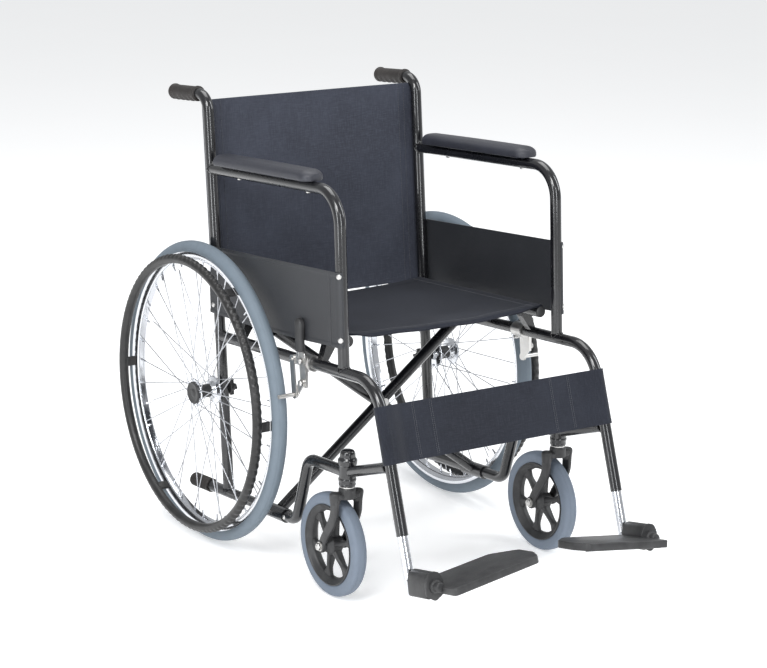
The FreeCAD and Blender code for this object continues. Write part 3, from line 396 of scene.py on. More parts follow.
def chrome():
    """Bright plating: polished, with faint swirls and a few duller patches."""
    f = Finish("chrome", Metallic=1.0)
    cloud = f.noise(24.0, 4.0, 0.6)
    fine = f.noise(300.0, 3.0, 0.6)
    colour = f.mix(cloud, (0.62, 0.64, 0.68), (0.8, 0.81, 0.84))
    return f.finish(Base_Color=colour, Roughness=0.08 + cloud * 0.12 + fine * 0.05,
                    Normal=f.bump(fine, 0.00008, 0.2))


def zinc():
    """Bright zinc plate on pressed steel: satin, slightly mottled and warm."""
    f = Finish("zinc_plate", Metallic=1.0)
    cloud = f.noise(60.0, 5.0, 0.65)
    grain = f.noise(700.0, 2.0)
    colour = f.mix(cloud, (0.5, 0.49, 0.47), (0.72, 0.71, 0.7))
    return f.finish(Base_Color=colour, Roughness=0.22 + cloud * 0.2,
                    Normal=f.bump(grain, 0.0001, 0.3))


def spoke_wire():
    """Drawn stainless wire."""
    f = Finish("spoke_wire", Metallic=1.0)
    cloud = f.noise(120.0, 3.0)
    return f.finish(Base_Color=f.mix(cloud, (0.42, 0.43, 0.46), (0.66, 0.67, 0.7)),
                    Roughness=0.2 + cloud * 0.18)


def solid_tyre(name, low, high):
    """Moulded solid tyre: a matt grey-blue skin, faintly mottled, darker with road dust
    towards the tread."""
    f = Finish(name, Specular_IOR_Level=0.35)
    cloud = f.noise(26.0, 5.0, 0.6)
    speck = f.noise(520.0, 3.0, 0.6)
    worn = f.noise(75.0, 4.0, 0.7).clear(0.5, 0.75)
    colour = f.mix(cloud, low, high)
    colour = f.mix(worn * 0.1, colour, tuple(0.7 * part for part in low))
    return f.finish(Base_Color=colour, Roughness=0.5 + speck * 0.2 + worn * 0.12,
                    Normal=f.bump(speck + worn * 0.6, 0.0004, 0.35))


def soft_black(name, low, high, rough, grain=650.0, depth=0.0003):
    """Moulded black plastic or rubber: a fine spark-eroded grain with paler rubbed edges."""
    f = Finish(name, Specular_IOR_Level=0.45)
    cloud = f.noise(38.0, 4.0, 0.6)
    fine = f.noise(grain, 2.0, 0.6)
    rubbed = f.noise(130.0, 4.0, 0.7).clear(0.58, 0.8)
    colour = f.mix(cloud.clear(0.3, 0.75), low, high)
    colour = f.mix(rubbed * 0.3, colour, tuple(2.4 * part for part in high))
    return f.finish(Base_Color=colour, Roughness=rough + fine * 0.14 - rubbed * 0.08,
                    Normal=f.bump(fine, depth, 0.45))


def panel_sheet():
    """Grained black sheet: a fine leather-like texture and a satin lift."""
    f = Finish("panel_sheet", Specular_IOR_Level=0.5)
    cells = f.node("TexVoronoi", {"feature": "DISTANCE_TO_EDGE"},
                   {"Vector": f.place(), "Scale": 420.0})
    cloud = f.noise(9.0, 3.0)
    colour = f.mix(cloud, (0.018, 0.019, 0.022), (0.03, 0.032, 0.037))
    return f.finish(Base_Color=colour, Roughness=0.4 + cloud * 0.14,
                    Normal=f.bump(cells.clear(0.0, 0.25), 0.0003, 0.4))


def pad_vinyl():
    """Moulded armrest skin: fine pebble grain, satin, with a cloudy rubbed sheen."""
    f = Finish("pad_vinyl", Specular_IOR_Level=0.45, Coat_Weight=0.15, Coat_Roughness=0.3)
    cells = f.node("TexVoronoi", {"feature": "DISTANCE_TO_EDGE"},
                   {"Vector": f.place(), "Scale": 560.0})
    cloud = f.noise(22.0, 4.0, 0.6)
    colour = f.mix(cloud, (0.018, 0.019, 0.026), (0.036, 0.038, 0.05))
    return f.finish(Base_Color=colour, Roughness=0.36 + cloud * 0.16,
                    Normal=f.bump(cells.clear(0.0, 0.22) + cloud * 0.3, 0.0004, 0.35))


def sling_nylon(name="sling_nylon", pitch=0.0016, painted_light_level=1.1, sheen=0.25):
    """Coated woven nylon: warp and weft of the same pitch, crossing over and under, with
    slubs, a soft sheen and a paler bloom where it is rubbed. All its tints are scaled by one
    factor, which paints light and shade: the back's nylon lighter, the seat's and the strap's darker."""
    f = Finish(name, Sheen_Weight=sheen, Sheen_Roughness=0.45, Specular_IOR_Level=0.8 * sheen + 0.1)
    spot = f.place((2 * math.pi / pitch,) * 3)
    across = f.node("Math", {"operation": "SINE"}, (f.part(spot, "X"),))
    run = f.part(spot, "Z") + f.part(spot, "Y")
    along = f.node("Math", {"operation": "SINE"}, (run,))
    weave = across * along * 0.5 + 0.5
    slub = f.noise(1.0, 3.0, 0.6, f.place((60.0, 900.0, 900.0)))
    slub_across = f.noise(1.0, 3.0, 0.6, f.place((900.0, 60.0, 60.0)))
    cloud = f.noise(7.0, 4.0, 0.55)
    thread = (slub + slub_across) * 0.5
    # Every tint is scaled by one factor: painted light and shade, darker for the seat and the strap.
    deep, pale, worn = (tuple(painted_light_level * part for part in tint) for tint in (
        (0.017, 0.0195, 0.030), (0.028, 0.032, 0.047), (0.05, 0.056, 0.078)))
    colour = f.mix(cloud.clear(0.3, 0.75), deep, pale)
    colour = f.mix(thread.clear(0.42, 0.66) * 0.5, colour, worn)
    height = weave * 0.6 + thread * 0.9
    return f.finish(Base_Color=colour, Roughness=0.62 + weave * 0.12 + cloud * 0.08,
                    Normal=f.bump(height, 0.0005, 0.5))


def stitch_thread():
    """Twisted sewing thread."""
    f = Finish("stitch_thread", Sheen_Weight=0.3)
    twist = f.noise(1400.0, 2.0)
    return f.finish(Base_Color=f.mix(twist, (0.03, 0.032, 0.04), (0.08, 0.085, 0.1)),
                    Roughness=0.6 + twist * 0.2)


PAINT = paint_black()
CHROME = chrome()
ZINC = zinc()
WIRE = spoke_wire()
TYRE = solid_tyre("tyre_grey", (0.135, 0.168, 0.2), (0.165, 0.2, 0.235))
CASTER_TYRE = solid_tyre("caster_tyre_grey", (0.135, 0.163, 0.205), (0.165, 0.197, 0.245))
RUBBER = soft_black("grip_rubber", (0.018, 0.015, 0.014), (0.035, 0.03, 0.028), 0.5)
PLASTIC = soft_black("black_plastic", (0.022, 0.022, 0.023), (0.042, 0.042, 0.043), 0.36)
RIM_PLASTIC = soft_black("handrim_plastic", (0.012, 0.012, 0.012), (0.026, 0.025, 0.025), 0.3)
PANEL = panel_sheet()
VINYL = pad_vinyl()
# The third number scales the nylon's colour as painted light and shade: the seat and the strap are darker copies
# of the back's nylon.
NYLON = sling_nylon()
SEAT_CLOTH = sling_nylon("seat_nylon", 0.0019, 0.55, 0.06)
STRAP = sling_nylon("strap_nylon", 0.0022, 0.6, 0.12)
THREAD = stitch_thread()

SLOT_OF = {"frame_paint": PAINT, "chrome": CHROME, "zinc_plate": ZINC, "spoke_wire": WIRE,
           "tyre_grey": TYRE, "grip_rubber": RUBBER, "black_plastic": PLASTIC,
           "handrim_plastic": RIM_PLASTIC, "panel_sheet": PANEL, "pad_vinyl": VINYL,
           "sling_nylon": NYLON}


# ------------------------------------------------------------- pieces and their riding
def make_piece(name, shell, finish, body, nodes=(), sharp=38.0):
    """One object from a shell, shaded smooth but for edges sharper than an angle."""
    mesh = bpy.data.meshes.new(name)
    mesh.from_pydata(np.concatenate(shell.points).tolist(), [],
                     [face for faces in shell.faces for block in faces for face in block.tolist()])
    mesh.materials.append(finish)
    mesh.shade_smooth()
    mesh.set_sharp_from_angle(angle=math.radians(sharp))
    mesh.update()
    piece = bpy.data.objects.new(name, mesh)
    bpy.context.scene.collection.objects.link(piece)
    if body:
        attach(piece, body)
    if nodes:
        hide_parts(*nodes)
    return piece


def both_sides(name, shell, finish, body, nodes=(), sharp=38.0):
    """The right piece and its mirror image; body and nodes are named without a side."""
    made = []
    for side, shape in (("right_", shell), ("left_", shell.mirrored())):
        made.append(make_piece(side + name, shape, finish, side + body,
                               [side + node for node in nodes], sharp))
    return made


def dome(shell, centre, axis, radius, height, count=14):
    """A domed screw head: a quarter ellipse turned round its axis, on a thin rim."""
    angle = np.linspace(0, math.pi / 2 * 0.97, 5)
    profile = np.stack([height * (0.3 + 0.7 * np.sin(angle)), radius * np.cos(angle)], -1)
    profile = np.concatenate([[[-0.6, radius]], profile])
    return shell.grid(lathe(profile, centre, axis, count))


def hexagon(shell, centre, axis, radius, low, high):
    """A hexagon nut or bolt head with its corners turned off."""
    profile = [(low, radius * 0.92), (low + 0.6, radius), (high - 0.8, radius),
               (high, radius * 0.86)]
    return shell.grid(lathe(profile, centre, axis, 6))


# -------------------------------------------------------------------- rear wheels
def wheel_tyre():
    """Round section on a narrower seat, with three shallow grooves round the crown."""
    angle = np.linspace(math.radians(-24), math.radians(204), 42)
    groove = 0.7 * sum(np.exp(-(((angle - math.pi / 2) - offset) / 0.035) ** 2)
                       for offset in (-0.42, 0.0, 0.42))
    radius = 15.0 - groove
    crown = np.stack([-radius * np.cos(angle), 286 + radius * np.sin(angle)], -1)
    seat = np.array([[12.6, 279.4], [-12.6, 279.4]])
    return Shell().grid(lathe(np.concatenate([crown, seat]), WHEEL, X, 168).transpose(1, 0, 2),
                        ring=True)


def wheel_rim():
    """Channel with rolled beads at its mouth, its floor narrower than its mouth."""
    corners = [(-13.6, 281.6), (-13.0, 274.5), (-7.6, 264.4), (7.6, 264.4), (13.0, 274.5),
               (13.6, 281.6), (11.6, 281.8), (11.0, 276.0), (6.6, 267.2), (-6.6, 267.2),
               (-11.0, 276.0), (-11.6, 281.8)]
    radii = [1.0, 3.0, 3.0, 3.0, 3.0, 1.0, 1.0, 2.5, 2.5, 2.5, 2.5, 1.0]
    return Shell().grid(lathe(rounded(corners, radii), WHEEL, X, 144).transpose(1, 0, 2),
                        ring=True)


def lace_ends():
    """Each spoke's flange end and rim end, as the four sets of a laced wheel."""
    ends = []
    for number, (side, way) in enumerate(((-1, -1), (1, 1), (-1, 1), (1, -1))):
        lace = math.radians(46)
        start = WHEEL + MM * np.array([side * 21.5, 0, 24.5])
        stop = WHEEL + MM * np.array([side * 3, way * 264 * math.sin(lace),
                                      264 * math.cos(lace)])
        phase = number * 10 + way * 46
        pair = revolved(np.stack([start, stop]), WHEEL, X, phase)
        ends += [revolved(pair, WHEEL, X, 40 * group) for group in range(9)]
    return np.array(ends)


def nipples():
    """A small waisted sleeve on each spoke where it enters the rim."""
    shell = Shell()
    profile = [(-1.5, 2.6), (2.5, 2.6), (3.2, 1.9), (13.0, 1.7), (13.6, 1.1)]
    for start, stop in lace_ends():
        axis = (start - stop) / np.linalg.norm(start - stop)
        shell.grid(lathe(profile, stop, axis, 8))
    stem = [(-2, 3.0), (14, 3.0), (15, 2.4), (26, 2.4), (27, 3.1), (38, 3.1), (39.5, 1.8)]
    base = revolved(WHEEL + MM * np.array([0, 0, 266.0]), WHEEL, X, 5)
    shell.grid(lathe(stem, base, (WHEEL - base) / np.linalg.norm(WHEEL - base), 10))
    return shell


def wheel_hub():
    """Barrel between two pierced flanges, with a bearing boss on the inboard end."""
    corners = [(-24.6, 6.2), (-24.6, 13), (-23.2, 14), (-23.2, 27.5), (-21.6, 28.5),
               (-19.8, 27.5), (-18.4, 17), (-11, 11.5), (11, 11.5), (18.4, 17), (19.8, 27.5),
               (21.6, 28.5), (23.2, 27.5), (23.2, 12.5), (30.5, 11.0), (31.4, 9.5), (31.4, 6.2)]
    shell = Shell().grid(
        lathe(rounded(corners, 1.2, 3), WHEEL, X, 56).transpose(1, 0, 2), ring=True)
    knuckle = [(-1.2, 0.9), (-0.6, 1.7), (0.6, 1.7), (1.2, 0.9)]
    for start, _ in lace_ends():
        outward = math.copysign(1.0, start[0] - WHEEL[0])
        shell.grid(lathe(profile=knuckle, centre=start + MM * outward * 2.4 * X, axis=X, count=6))
    return shell


def hub_disc():
    """Dished cap over the hub's outboard end, with a raised rim and a dimpled middle."""
    corners = [(-22.6, 21.5), (-26.6, 22.6), (-28.6, 20.8), (-27.0, 16.0), (-26.2, 8.5),
               (-28.4, 5.5), (-28.8, 0.8)]
    profile = rounded(corners, 1.4, 4, closed=False)
    return Shell().grid(lathe(profile, WHEEL, X, 48))


def barrel_sleeve():
    """Black sleeve round the middle of the hub barrel."""
    profile = rounded([(-11, 11.0), (-10, 13.4), (10, 13.4), (11, 11.0)], 0.8, 3, closed=False)
    return Shell().grid(lathe(profile, WHEEL, X, 40))


# Turn of the first tab from straight up, in degrees, and the count of finger bumps.
TAB_TURN = 30.0
FINGER_BUMPS = 108


def push_ring():
    """Hand rim: a round section that dips between finger bumps on the side away from the
    axle. The dip is the cosine of the bump count times the angle round, eased in by how far
    the section's normal points away from the axle."""
    section = np.linspace(0, 2 * math.pi, 18, endpoint=False)[:, None]
    around = np.linspace(0, 2 * math.pi, 864, endpoint=False)[None, :]
    bumps = 0.5 + 0.5 * np.cos(FINGER_BUMPS * around)
    facing = smooth(np.cos(section - math.radians(82)), 0.1, 0.95)
    radius = 9.6 - 2.6 * facing * (1 - bumps ** 0.7)
    along = -39 + radius * np.cos(section)
    reach = 269 + radius * np.sin(section)
    points = spread(WHEEL, (X, Y, Z), along, reach * np.cos(around), reach * np.sin(around))
    shell = Shell().grid(points.transpose(1, 0, 2), ring=True)
    outline = rounded([(-10, -2.6), (10, -2.6), (10, 2.6), (-10, 2.6)], 2.4, 4)
    tab = slab(outline, -33.0, -11.5, 1.0, WHEEL + MM * 268.5 * Z, (Y, Z, X), 3)
    shell.copies(tab, [TAB_TURN + 60 * k for k in range(6)], WHEEL, X)
    return shell


both_sides("tyre", wheel_tyre(), TYRE, "wheel", ["tyre"])
both_sides("rim", wheel_rim(), CHROME, "wheel", ["rim"])
both_sides("spoke_nipples", nipples(), CHROME, "wheel")
both_sides("hub", wheel_hub(), CHROME, "wheel", ["hub"])
both_sides("hub_disc", hub_disc(), PLASTIC, "wheel")
both_sides("hub_sleeve", barrel_sleeve(), PLASTIC, "wheel")
both_sides("handrim", push_ring(), RIM_PLASTIC, "wheel", ["handrim"])


def axle_nut():
    """Inboard end of the axle: washer, winged nut and threaded tip."""
    base = level(-SIDE, 0, 0)
    shell = Shell().grid(lathe([(10.6, 13), (12.4, 13.4), (13.4, 12.6)], base, X, 28))
    shell.grid(lathe(rounded([(13.0, 9.5), (13.2, 10.5), (22.5, 9.0), (24, 6.4)], 0.8, 3,
                             closed=False), base, X, 24))
    wing = rounded([(-17, -3.2), (17, -3.2), (17, 3.2), (-17, 3.2)], 3.0, 4)
    shell.grid(slab(wing, 15.0, 23.0, 1.2, base, (AHEAD, ABOVE, X)))
    shell.grid(slab(wing[:, ::-1], 15.0, 23.0, 1.2, base, (AHEAD, ABOVE, X)))
    shell.grid(lathe([(-40, 5.9), (27.0, 5.9), (28.5, 4.9)], base, X, 20))
    return shell


both_sides("axle", axle_nut(), PLASTIC, "frame", ["axle"])


# ------------------------------------------------------------------------- casters
def caster_tyre():
    """Solid ring with a nearly flat tread, eased shoulders and two hair grooves."""
    corners = [(-11.6, 77.4), (-14.0, 81), (-14.6, 88), (-13.6, 95.0), (-9.5, 98.8), (-5.4, 99.6),
               (-5.0, 99.0), (-4.6, 99.75), (0, 100), (4.6, 99.75), (5.0, 99.0), (5.4, 99.6),
               (9.5, 98.8), (13.6, 95.0), (14.6, 88), (14.0, 81), (11.6, 77.4)]
    radii = [0.5, 2, 3, 2.5, 2, 0.3, 0.3, 0.3, 1, 0.3, 0.3, 0.3, 2, 2.5, 3, 2, 0.5]
    return Shell().grid(lathe(rounded(corners, radii, 4), CASTER, X, 112).transpose(1, 0, 2),
                        ring=True)


def caster_core():
    """Moulded core: a deep coned band with a lip at each side, a stepped hub, and six arms
    that spread out as they meet the band."""
    band = [(-14.2, 78.2), (-14.6, 75.6), (-12.4, 74.4), (-7.0, 66.5), (-4.0, 64.6),
            (4.0, 64.6), (7.0, 66.5), (12.4, 74.4), (14.6, 75.6), (14.2, 78.2)]
    shell = Shell().grid(lathe(rounded(band, 1.2, 3), CASTER, X, 96).transpose(1, 0, 2), ring=True)
    hub = [(-20.4, 4.3), (-20.4, 11.2), (-15, 13.4), (-9, 19.5), (9, 19.5), (15, 13.4),
           (20.4, 11.2), (20.4, 4.3)]
    shell.grid(lathe(rounded(hub, 1.4, 3), CASTER, X, 40).transpose(1, 0, 2), ring=True)
    run = np.linspace(13, 67, 15)
    half_width = 6.2 - 1.4 * smooth(run, 14, 34) + 8.5 * smooth(run, 46, 67) ** 1.6
    half_depth = 9.0 - 3.6 * smooth(run, 14, 60)
    outline = rounded([(-1, -1), (1, -1), (1, 1), (-1, 1)], 0.7, 4)
    path = spread(CASTER, (Z,), run)
    section = outline[None] * np.stack([half_depth, half_width], -1)[:, None]
    shell.copies(swept(path, section, X), [60 * k + 12 for k in range(6)], CASTER, X)
    return shell


FORK_X = 25.6


def caster_fork():
    """Cast fork: a bridge between two rounded shoulders, and on each side a leg that runs
    down and then sweeps back to the bolt along an eased curve, narrowing as it goes."""
    shell = Shell()
    centre = STEM
    drop = np.linspace(0, 1, 22)
    height = 213 - 113 * drop
    back = 2 + 43 * smooth(drop, 0.25, 1.12) / smooth(1.0, 0.25, 1.12)
    wide = 11.6 - 2.6 * smooth(drop, 0.05, 0.8)
    thick = 4.4 - 0.8 * smooth(drop, 0.1, 0.9)
    outline = rounded([(-1, -1), (1, -1), (1, 1), (-1, 1)], 0.62, 5)
    for side in (-1, 1):
        path = spread(centre, (X, Y, Z), side * FORK_X, back, height)
        section = outline[None] * np.stack([thick, wide], -1)[:, None]
        shell.grid(swept(path, section, X))
        eye = rounded([(-3.6, 6), (-3.6, 12.2), (3.6, 12.2), (3.6, 6)], 1.0, 3, closed=False)
        shell.grid(lathe(eye, spread(CASTER, (X,), side * FORK_X), X, 28))
        shoulder = rounded([(196, 9.5), (211, 11.4), (216.5, 10.6), (218.3, 6.5), (218.6, 1.0)],
                           2.0, 4, closed=False)
        shell.grid(lathe(shoulder, spread(centre, (X, Y), side * (FORK_X - 1.0), 2), Z, 24))
    bridge = rounded([(-26, -10.5), (26, -10.5), (26, 14.5), (-26, 14.5)], 8, 6)
    shell.grid(slab(bridge, 204.5, 215.2, 3.0, centre, (X, Y, Z)))
    boss = rounded([(205, 16.5), (222, 16.2), (226.2, 13.2)], 1.6, 4, closed=False)
    shell.grid(lathe(boss, centre, Z, 32))
    return shell


def caster_bolt():
    """Axle bolt: hexagon head and nut on washers."""
    shell = Shell().grid(lathe([(-31, 4), (31, 4)], CASTER, X, 16))
    for side in (-1, 1):
        shell.grid(lathe([(29.2, 9.0), (30.8, 9.0)], CASTER, side * X, 24))
        hexagon(shell, CASTER, side * X, 7.4, 30.6, 36.0)
        dome(shell, CASTER + MM * side * 35.8 * X, side * X, 4.0, 1.6)
    return shell


def stem_washer():
    """Thin washer between the fork's crown and the head."""
    profile = rounded([(226.0, 8), (226.0, 14.6), (228.0, 14.9), (228.9, 13.6), (228.9, 8)],
                      0.5, 3)
    return Shell().grid(lathe(profile, STEM, Z, 32).transpose(1, 0, 2), ring=True)


def caster_head():
    """Housing: a plain body with a rolled foot, a swaged collar, and a domed cap above."""
    corners = [(229.2, 8.3), (229.2, 15.4), (231.5, 16.2), (234.5, 15.6), (267.5, 15.6),
               (270.0, 17.6), (279.5, 18.2), (282.0, 16.2), (284.5, 14.6), (292.0, 14.4),
               (296.5, 12.4), (298.0, 8.0), (298.2, 0.8)]
    profile = rounded(corners, [0.2, 0.8, 1, 1.5, 1.2, 1.4, 1.6, 1.2, 1, 2.5, 2.5, 2, 0.2], 4,
                      closed=False)
    shell = Shell().grid(lathe(profile, STEM, Z, 40))
    shell.grid(lathe([(238, 16.2), (239.2, 16.8), (242.6, 16.8), (243.8, 16.2)], STEM, Z, 40))
    low, high = stub_ends()
    axis = (high - low) / np.linalg.norm(high - low)
    length = np.linalg.norm(high - low) / MM
    shell.grid(lathe([(0, 10.3), (length, 10.3)], low, axis, 32))
    shell.grid(lathe(rounded([(length - 4.5, 10.3), (length - 3.0, 11.6), (length + 0.3, 10.6)],
                             0.8, 3, closed=False), low, axis, 32))
    return shell


def stub_ends():
    """The stub's ends: square to the hanger, from inside the head to the hanger's face."""
    start = STEM + np.array([0, 0, 1.0]) * level(0, 457, -82)[2]
    reach = np.dot(HANGER_CORNER - start, HANGER_AHEAD) / MM - TUBE + 0.6
    low = spread(start, (HANGER_AHEAD,), 10.0)
    return low, spread(start, (HANGER_AHEAD,), reach)


both_sides("caster_tyre", caster_tyre(), CASTER_TYRE, "caster_wheel",
           ["caster_tyre"])
both_sides("caster_core", caster_core(), PLASTIC, "caster_wheel",
           ["caster_core"])
both_sides("caster_fork", caster_fork(), PLASTIC, "caster_fork",
           ["caster_fork"])
both_sides("caster_bolt", caster_bolt(), ZINC, "caster_fork", ["caster_bolt"])
both_sides("stem_ring", stem_washer(), ZINC, "caster_fork")
both_sides("caster_head", caster_head(), PAINT, "frame", ["caster_head"])


# ---------------------------------------------------------------- grips and rubber caps
def push_grip():
    """Moulded sleeve: flanged mouth and end, four finger hollows beneath. The radius dips
    by the square of a sine along the sleeve, eased in towards the underside."""
    corner = level(-SIDE, 0, 0) + MM * 585 * CANE_UP
    tilt = math.radians(1)
    back = -CANE_AHEAD * math.cos(tilt) + CANE_UP * math.sin(tilt)
    first, second = square_to(back)
    down = -CANE_UP
    along = np.concatenate([[35.5, 36.5, 40.0, 41.5, 43.0], np.linspace(45, 124, 50),
                            [126.0, 128.0, 131.0, 133.4, 135.0, 135.8]])
    radius = np.interp(along, [35.5, 36.5, 40, 41.5, 43, 124, 126, 128, 131, 133.4, 135, 135.8],
                       [12.5, 15.2, 15.4, 14.6, 13.9, 13.9, 15.0, 15.6, 15.6, 14.6, 11.5, 5.0])
    wave = np.sin(np.clip((along - 46) / 77, 0, 1) * 4 * math.pi) ** 2
    angle = np.linspace(0, 2 * math.pi, 40, endpoint=False)
    normal = np.cos(angle)[:, None] * first + np.sin(angle)[:, None] * second
    below = smooth(normal @ down, 0.1, 0.9)
    inside = smooth(along, 44, 46) * (1 - smooth(along, 123, 125))
    full = radius[:, None] + inside[:, None] * below[None] * (3.2 * wave[:, None] - 1.0)
    points = (corner + MM * along[:, None, None] * back
              + MM * full[..., None] * normal[None])
    return Shell().grid(points)


def tip_cap():
    """Ribbed rubber sleeve on the tipping lever."""
    along = np.linspace(0, 72, 60)
    profile = 13.6 + 0.5 * np.sin(along * 2 * math.pi / 6) * smooth(along, 8, 12)
    profile = np.where(along < 4, 14.2, profile)
    ends = np.interp(along, [0, 1.2, 69, 71, 72], [0.9, 1, 1, 0.86, 0.5])
    start = level(-SIDE, -61, -214)
    return Shell().grid(lathe(np.stack([along, profile * ends], -1), start, -AHEAD, 32))


both_sides("push_grip", push_grip(), RUBBER, "frame", ["push_grip"])
both_sides("tip_cap", tip_cap(), RUBBER, "frame", ["tip_cap"])


# -------------------------------------------------------------------------- slings
def cloth(middle, normal, thick):
    """A sheet as a closed shell: half its thickness each side of its middle surface.

    Columns run over the face and back along the reverse; thick is given per point."""
    shift = MM * 0.5 * thick[..., None] * normal
    loop = np.concatenate([middle + shift, (middle - shift)[:, ::-1]], 1)
    return Shell().grid(loop)


def surface_normal(points, towards):
    """The unit cross product of a grid's two runs, turned as one so that its middle looks
    along a direction."""
    normal = np.cross(np.gradient(points, axis=0), np.gradient(points, axis=1))
    normal /= np.linalg.norm(normal, axis=-1, keepdims=True) + 1e-12
    rows, columns = normal.shape[:2]
    return normal * np.sign(normal[rows // 2, columns // 2] @ np.asarray(towards, float))


def wrapped_run(half, radius, start, leave, depth_at, count):
    """Across and depth of a sheet's middle from one tube to the other: an arc round each
    tube from the angle start to leave, measured from straight ahead towards the chair's
    middle, and between the two arcs a curve given by depth_at of the place across."""
    arc = np.radians(np.linspace(start, leave, 14))
    left = np.stack([-half + radius * np.sin(arc), radius * np.cos(arc)], -1)
    inner = left[-1, 0]
    x = np.linspace(inner, -inner, count)[1:-1]
    flat = np.stack([x, depth_at(x, left[-1])], -1)
    right = left[::-1] * (-1, 1)
    return np.concatenate([left, flat, right])


def hem(distance, width=22.0, extra=1.1):
    """Doubled cloth near an edge: full extra thickness out to width, then an easy step,
    with a shallow furrow where the seam is sewn."""
    furrow = 0.7 * np.exp(-((distance - width + 4) / 1.3) ** 2)
    return extra * (1 - smooth(distance, width - 1.0, width + 1.5)) - furrow


def stitches(line, normal, pitch=3.6):
    """Short rounded threads end to end along a line on the cloth, each of six sides."""
    steps = np.linalg.norm(np.diff(line, axis=0), axis=1)
    run = np.concatenate([[0], np.cumsum(steps)])
    places = np.arange(pitch * MM, run[-1] - pitch * MM, pitch * MM)
    at = np.stack([np.interp(places, run, line[:, k]) for k in range(3)], -1)
    on = np.stack([np.interp(places + 1e-4, run, line[:, k]) for k in range(3)], -1)
    lift = np.stack([np.interp(places, run, normal[:, k]) for k in range(3)], -1)
    ahead = (on - at) / np.linalg.norm(on - at, axis=1, keepdims=True)
    side = np.cross(lift, ahead)
    angle = np.linspace(0, 2 * math.pi, 6, endpoint=False)
    along = np.array([-1.35, -0.9, 0.9, 1.35])
    size = np.array([0.15, 0.42, 0.42, 0.15])
    ring = (np.cos(angle)[None, None, :, None] * side[:, None, None]
            + np.sin(angle)[None, None, :, None] * lift[:, None, None])
    grids = (at[:, None, None] + MM * 0.35 * lift[:, None, None]
             + MM * along[None, :, None, None] * ahead[:, None, None]
             + MM * size[None, :, None, None] * ring)
    shell = Shell()
    for grid in grids:
        shell.grid(grid)
    return shell


def sewn_along(points, thick, normal, columns=(), row=None, trim=14):
    """Stitches on the cloth's face down each column of its grid and along one row."""
    face = points + MM * 0.5 * thick[..., None] * normal
    lines = [stitches(face[:, column], normal[:, column]) for column in columns]
    if row is not None:
        lines.append(stitches(face[row][trim:-trim], normal[row][trim:-trim]))
    return joined(*lines)


def seam_columns(run, half, reaches):
    """The grid columns nearest to each reach in from a tube, and their mirror images."""
    seams = [int(np.argmin(np.abs(run[:, 0] + half - reach))) for reach in reaches]
    return [column for seam in seams for column in (seam, len(run) - 1 - seam)]


def joined(*shells):
    whole = Shell()
    for shell in shells:
        for points, faces in zip(shell.points, shell.faces):
            low = min(face.min() for face in faces)
            whole.add(points, [face - low for face in faces])
    return whole


def back_sling():
    """Nylon back between the canes, wrapped round the rear of each and bowed between them
    as a fourth power; doubled in from each cane to a pair of seams and hemmed at its ends."""
    low, high = 160, 574

    def depth(x, edge):
        return edge[1] - 8.0 * (1 - (x / edge[0]) ** 4)
    run = wrapped_run(SIDE, TUBE + 1.2, 216, 168, depth, 120)
    up = low + (high - low) * np.concatenate(
        [np.linspace(0, 0.05, 12), np.linspace(0.06, 0.94, 70), np.linspace(0.95, 1, 12)])
    middle = smooth(222 - np.abs(run[None, :, 0]), 0, 60)
    sag = 1.5 * np.sin(run[None, :, 0] / 74 + 0.6) * np.sin(up[:, None] / 96) \
        + 0.5 * np.sin(run[None, :, 0] / 31) * np.sin(up[:, None] / 47)
    points = spread(AXLE, (X, CANE_AHEAD, CANE_UP), run[None, :, 0],
                    run[None, :, 1] + sag * middle, up[:, None])
    edge = np.minimum(up - low, high - up)[:, None]
    inboard = (SIDE - np.abs(run[:, 0]))[None, :]
    thick = 1.7 + hem(edge, 12, 0.5) + hem(inboard, 41, 0.9)
    normal = surface_normal(points, CANE_AHEAD)
    sewn = sewn_along(points, thick, normal, seam_columns(run, SIDE, (24, 37)))
    return cloth(points, normal, thick), sewn


def seat_sling():
    """Nylon seat over the two seat rails and down their outer sides, hanging in a shallow
    parabola between them with soft pulls; its front corners cut round and its front hem
    rolled down over the last few millimetres."""
    def depth(x, edge):
        return edge[1] - 8.5 * (1 - (x / edge[0]) ** 2)
    run = wrapped_run(SEAT_RAIL, TUBE + 1.7, -112, 4, depth, 110)
    share = np.concatenate([np.linspace(0, 0.07, 12), np.linspace(0.08, 0.92, 56),
                            np.linspace(0.93, 1, 18)])
    front = 433 - 12 * smooth(np.abs(run[:, 0]), SEAT_RAIL - 14, SEAT_RAIL + 13) ** 1.5
    ahead = 17 + (front[None, :] - 17) * share[:, None]
    middle = smooth(SEAT_RAIL - 8 - np.abs(run[None, :, 0]), 0, 50)
    pulls = 0.9 * np.sin(run[None, :, 0] / 43 + ahead / 70) * np.sin(ahead / 88) \
        + 0.7 * np.sin(run[None, :, 0] / 19 + 1.3) * smooth(ahead, 300, 425)
    roll = 5.0 * smooth(ahead, front[None, :] - 9, front[None, :] + 1) ** 1.4
    points = spread(AXLE, (X, AHEAD, ABOVE), run[None, :, 0], ahead,
                    158 + run[None, :, 1] + (pulls - roll) * middle)
    edge = np.minimum(ahead - 17, front[None, :] - ahead)
    inboard = (SEAT_RAIL + 13 - np.abs(run[:, 0]))[None, :]
    thick = 1.7 + hem(edge, 24) + hem(inboard, 34, 0.8)
    normal = surface_normal(points, ABOVE)
    sewn = sewn_along(points, thick, normal, seam_columns(run, SEAT_RAIL, (17,)),
                      row=len(share) - 13)
    return cloth(points, normal, thick), sewn


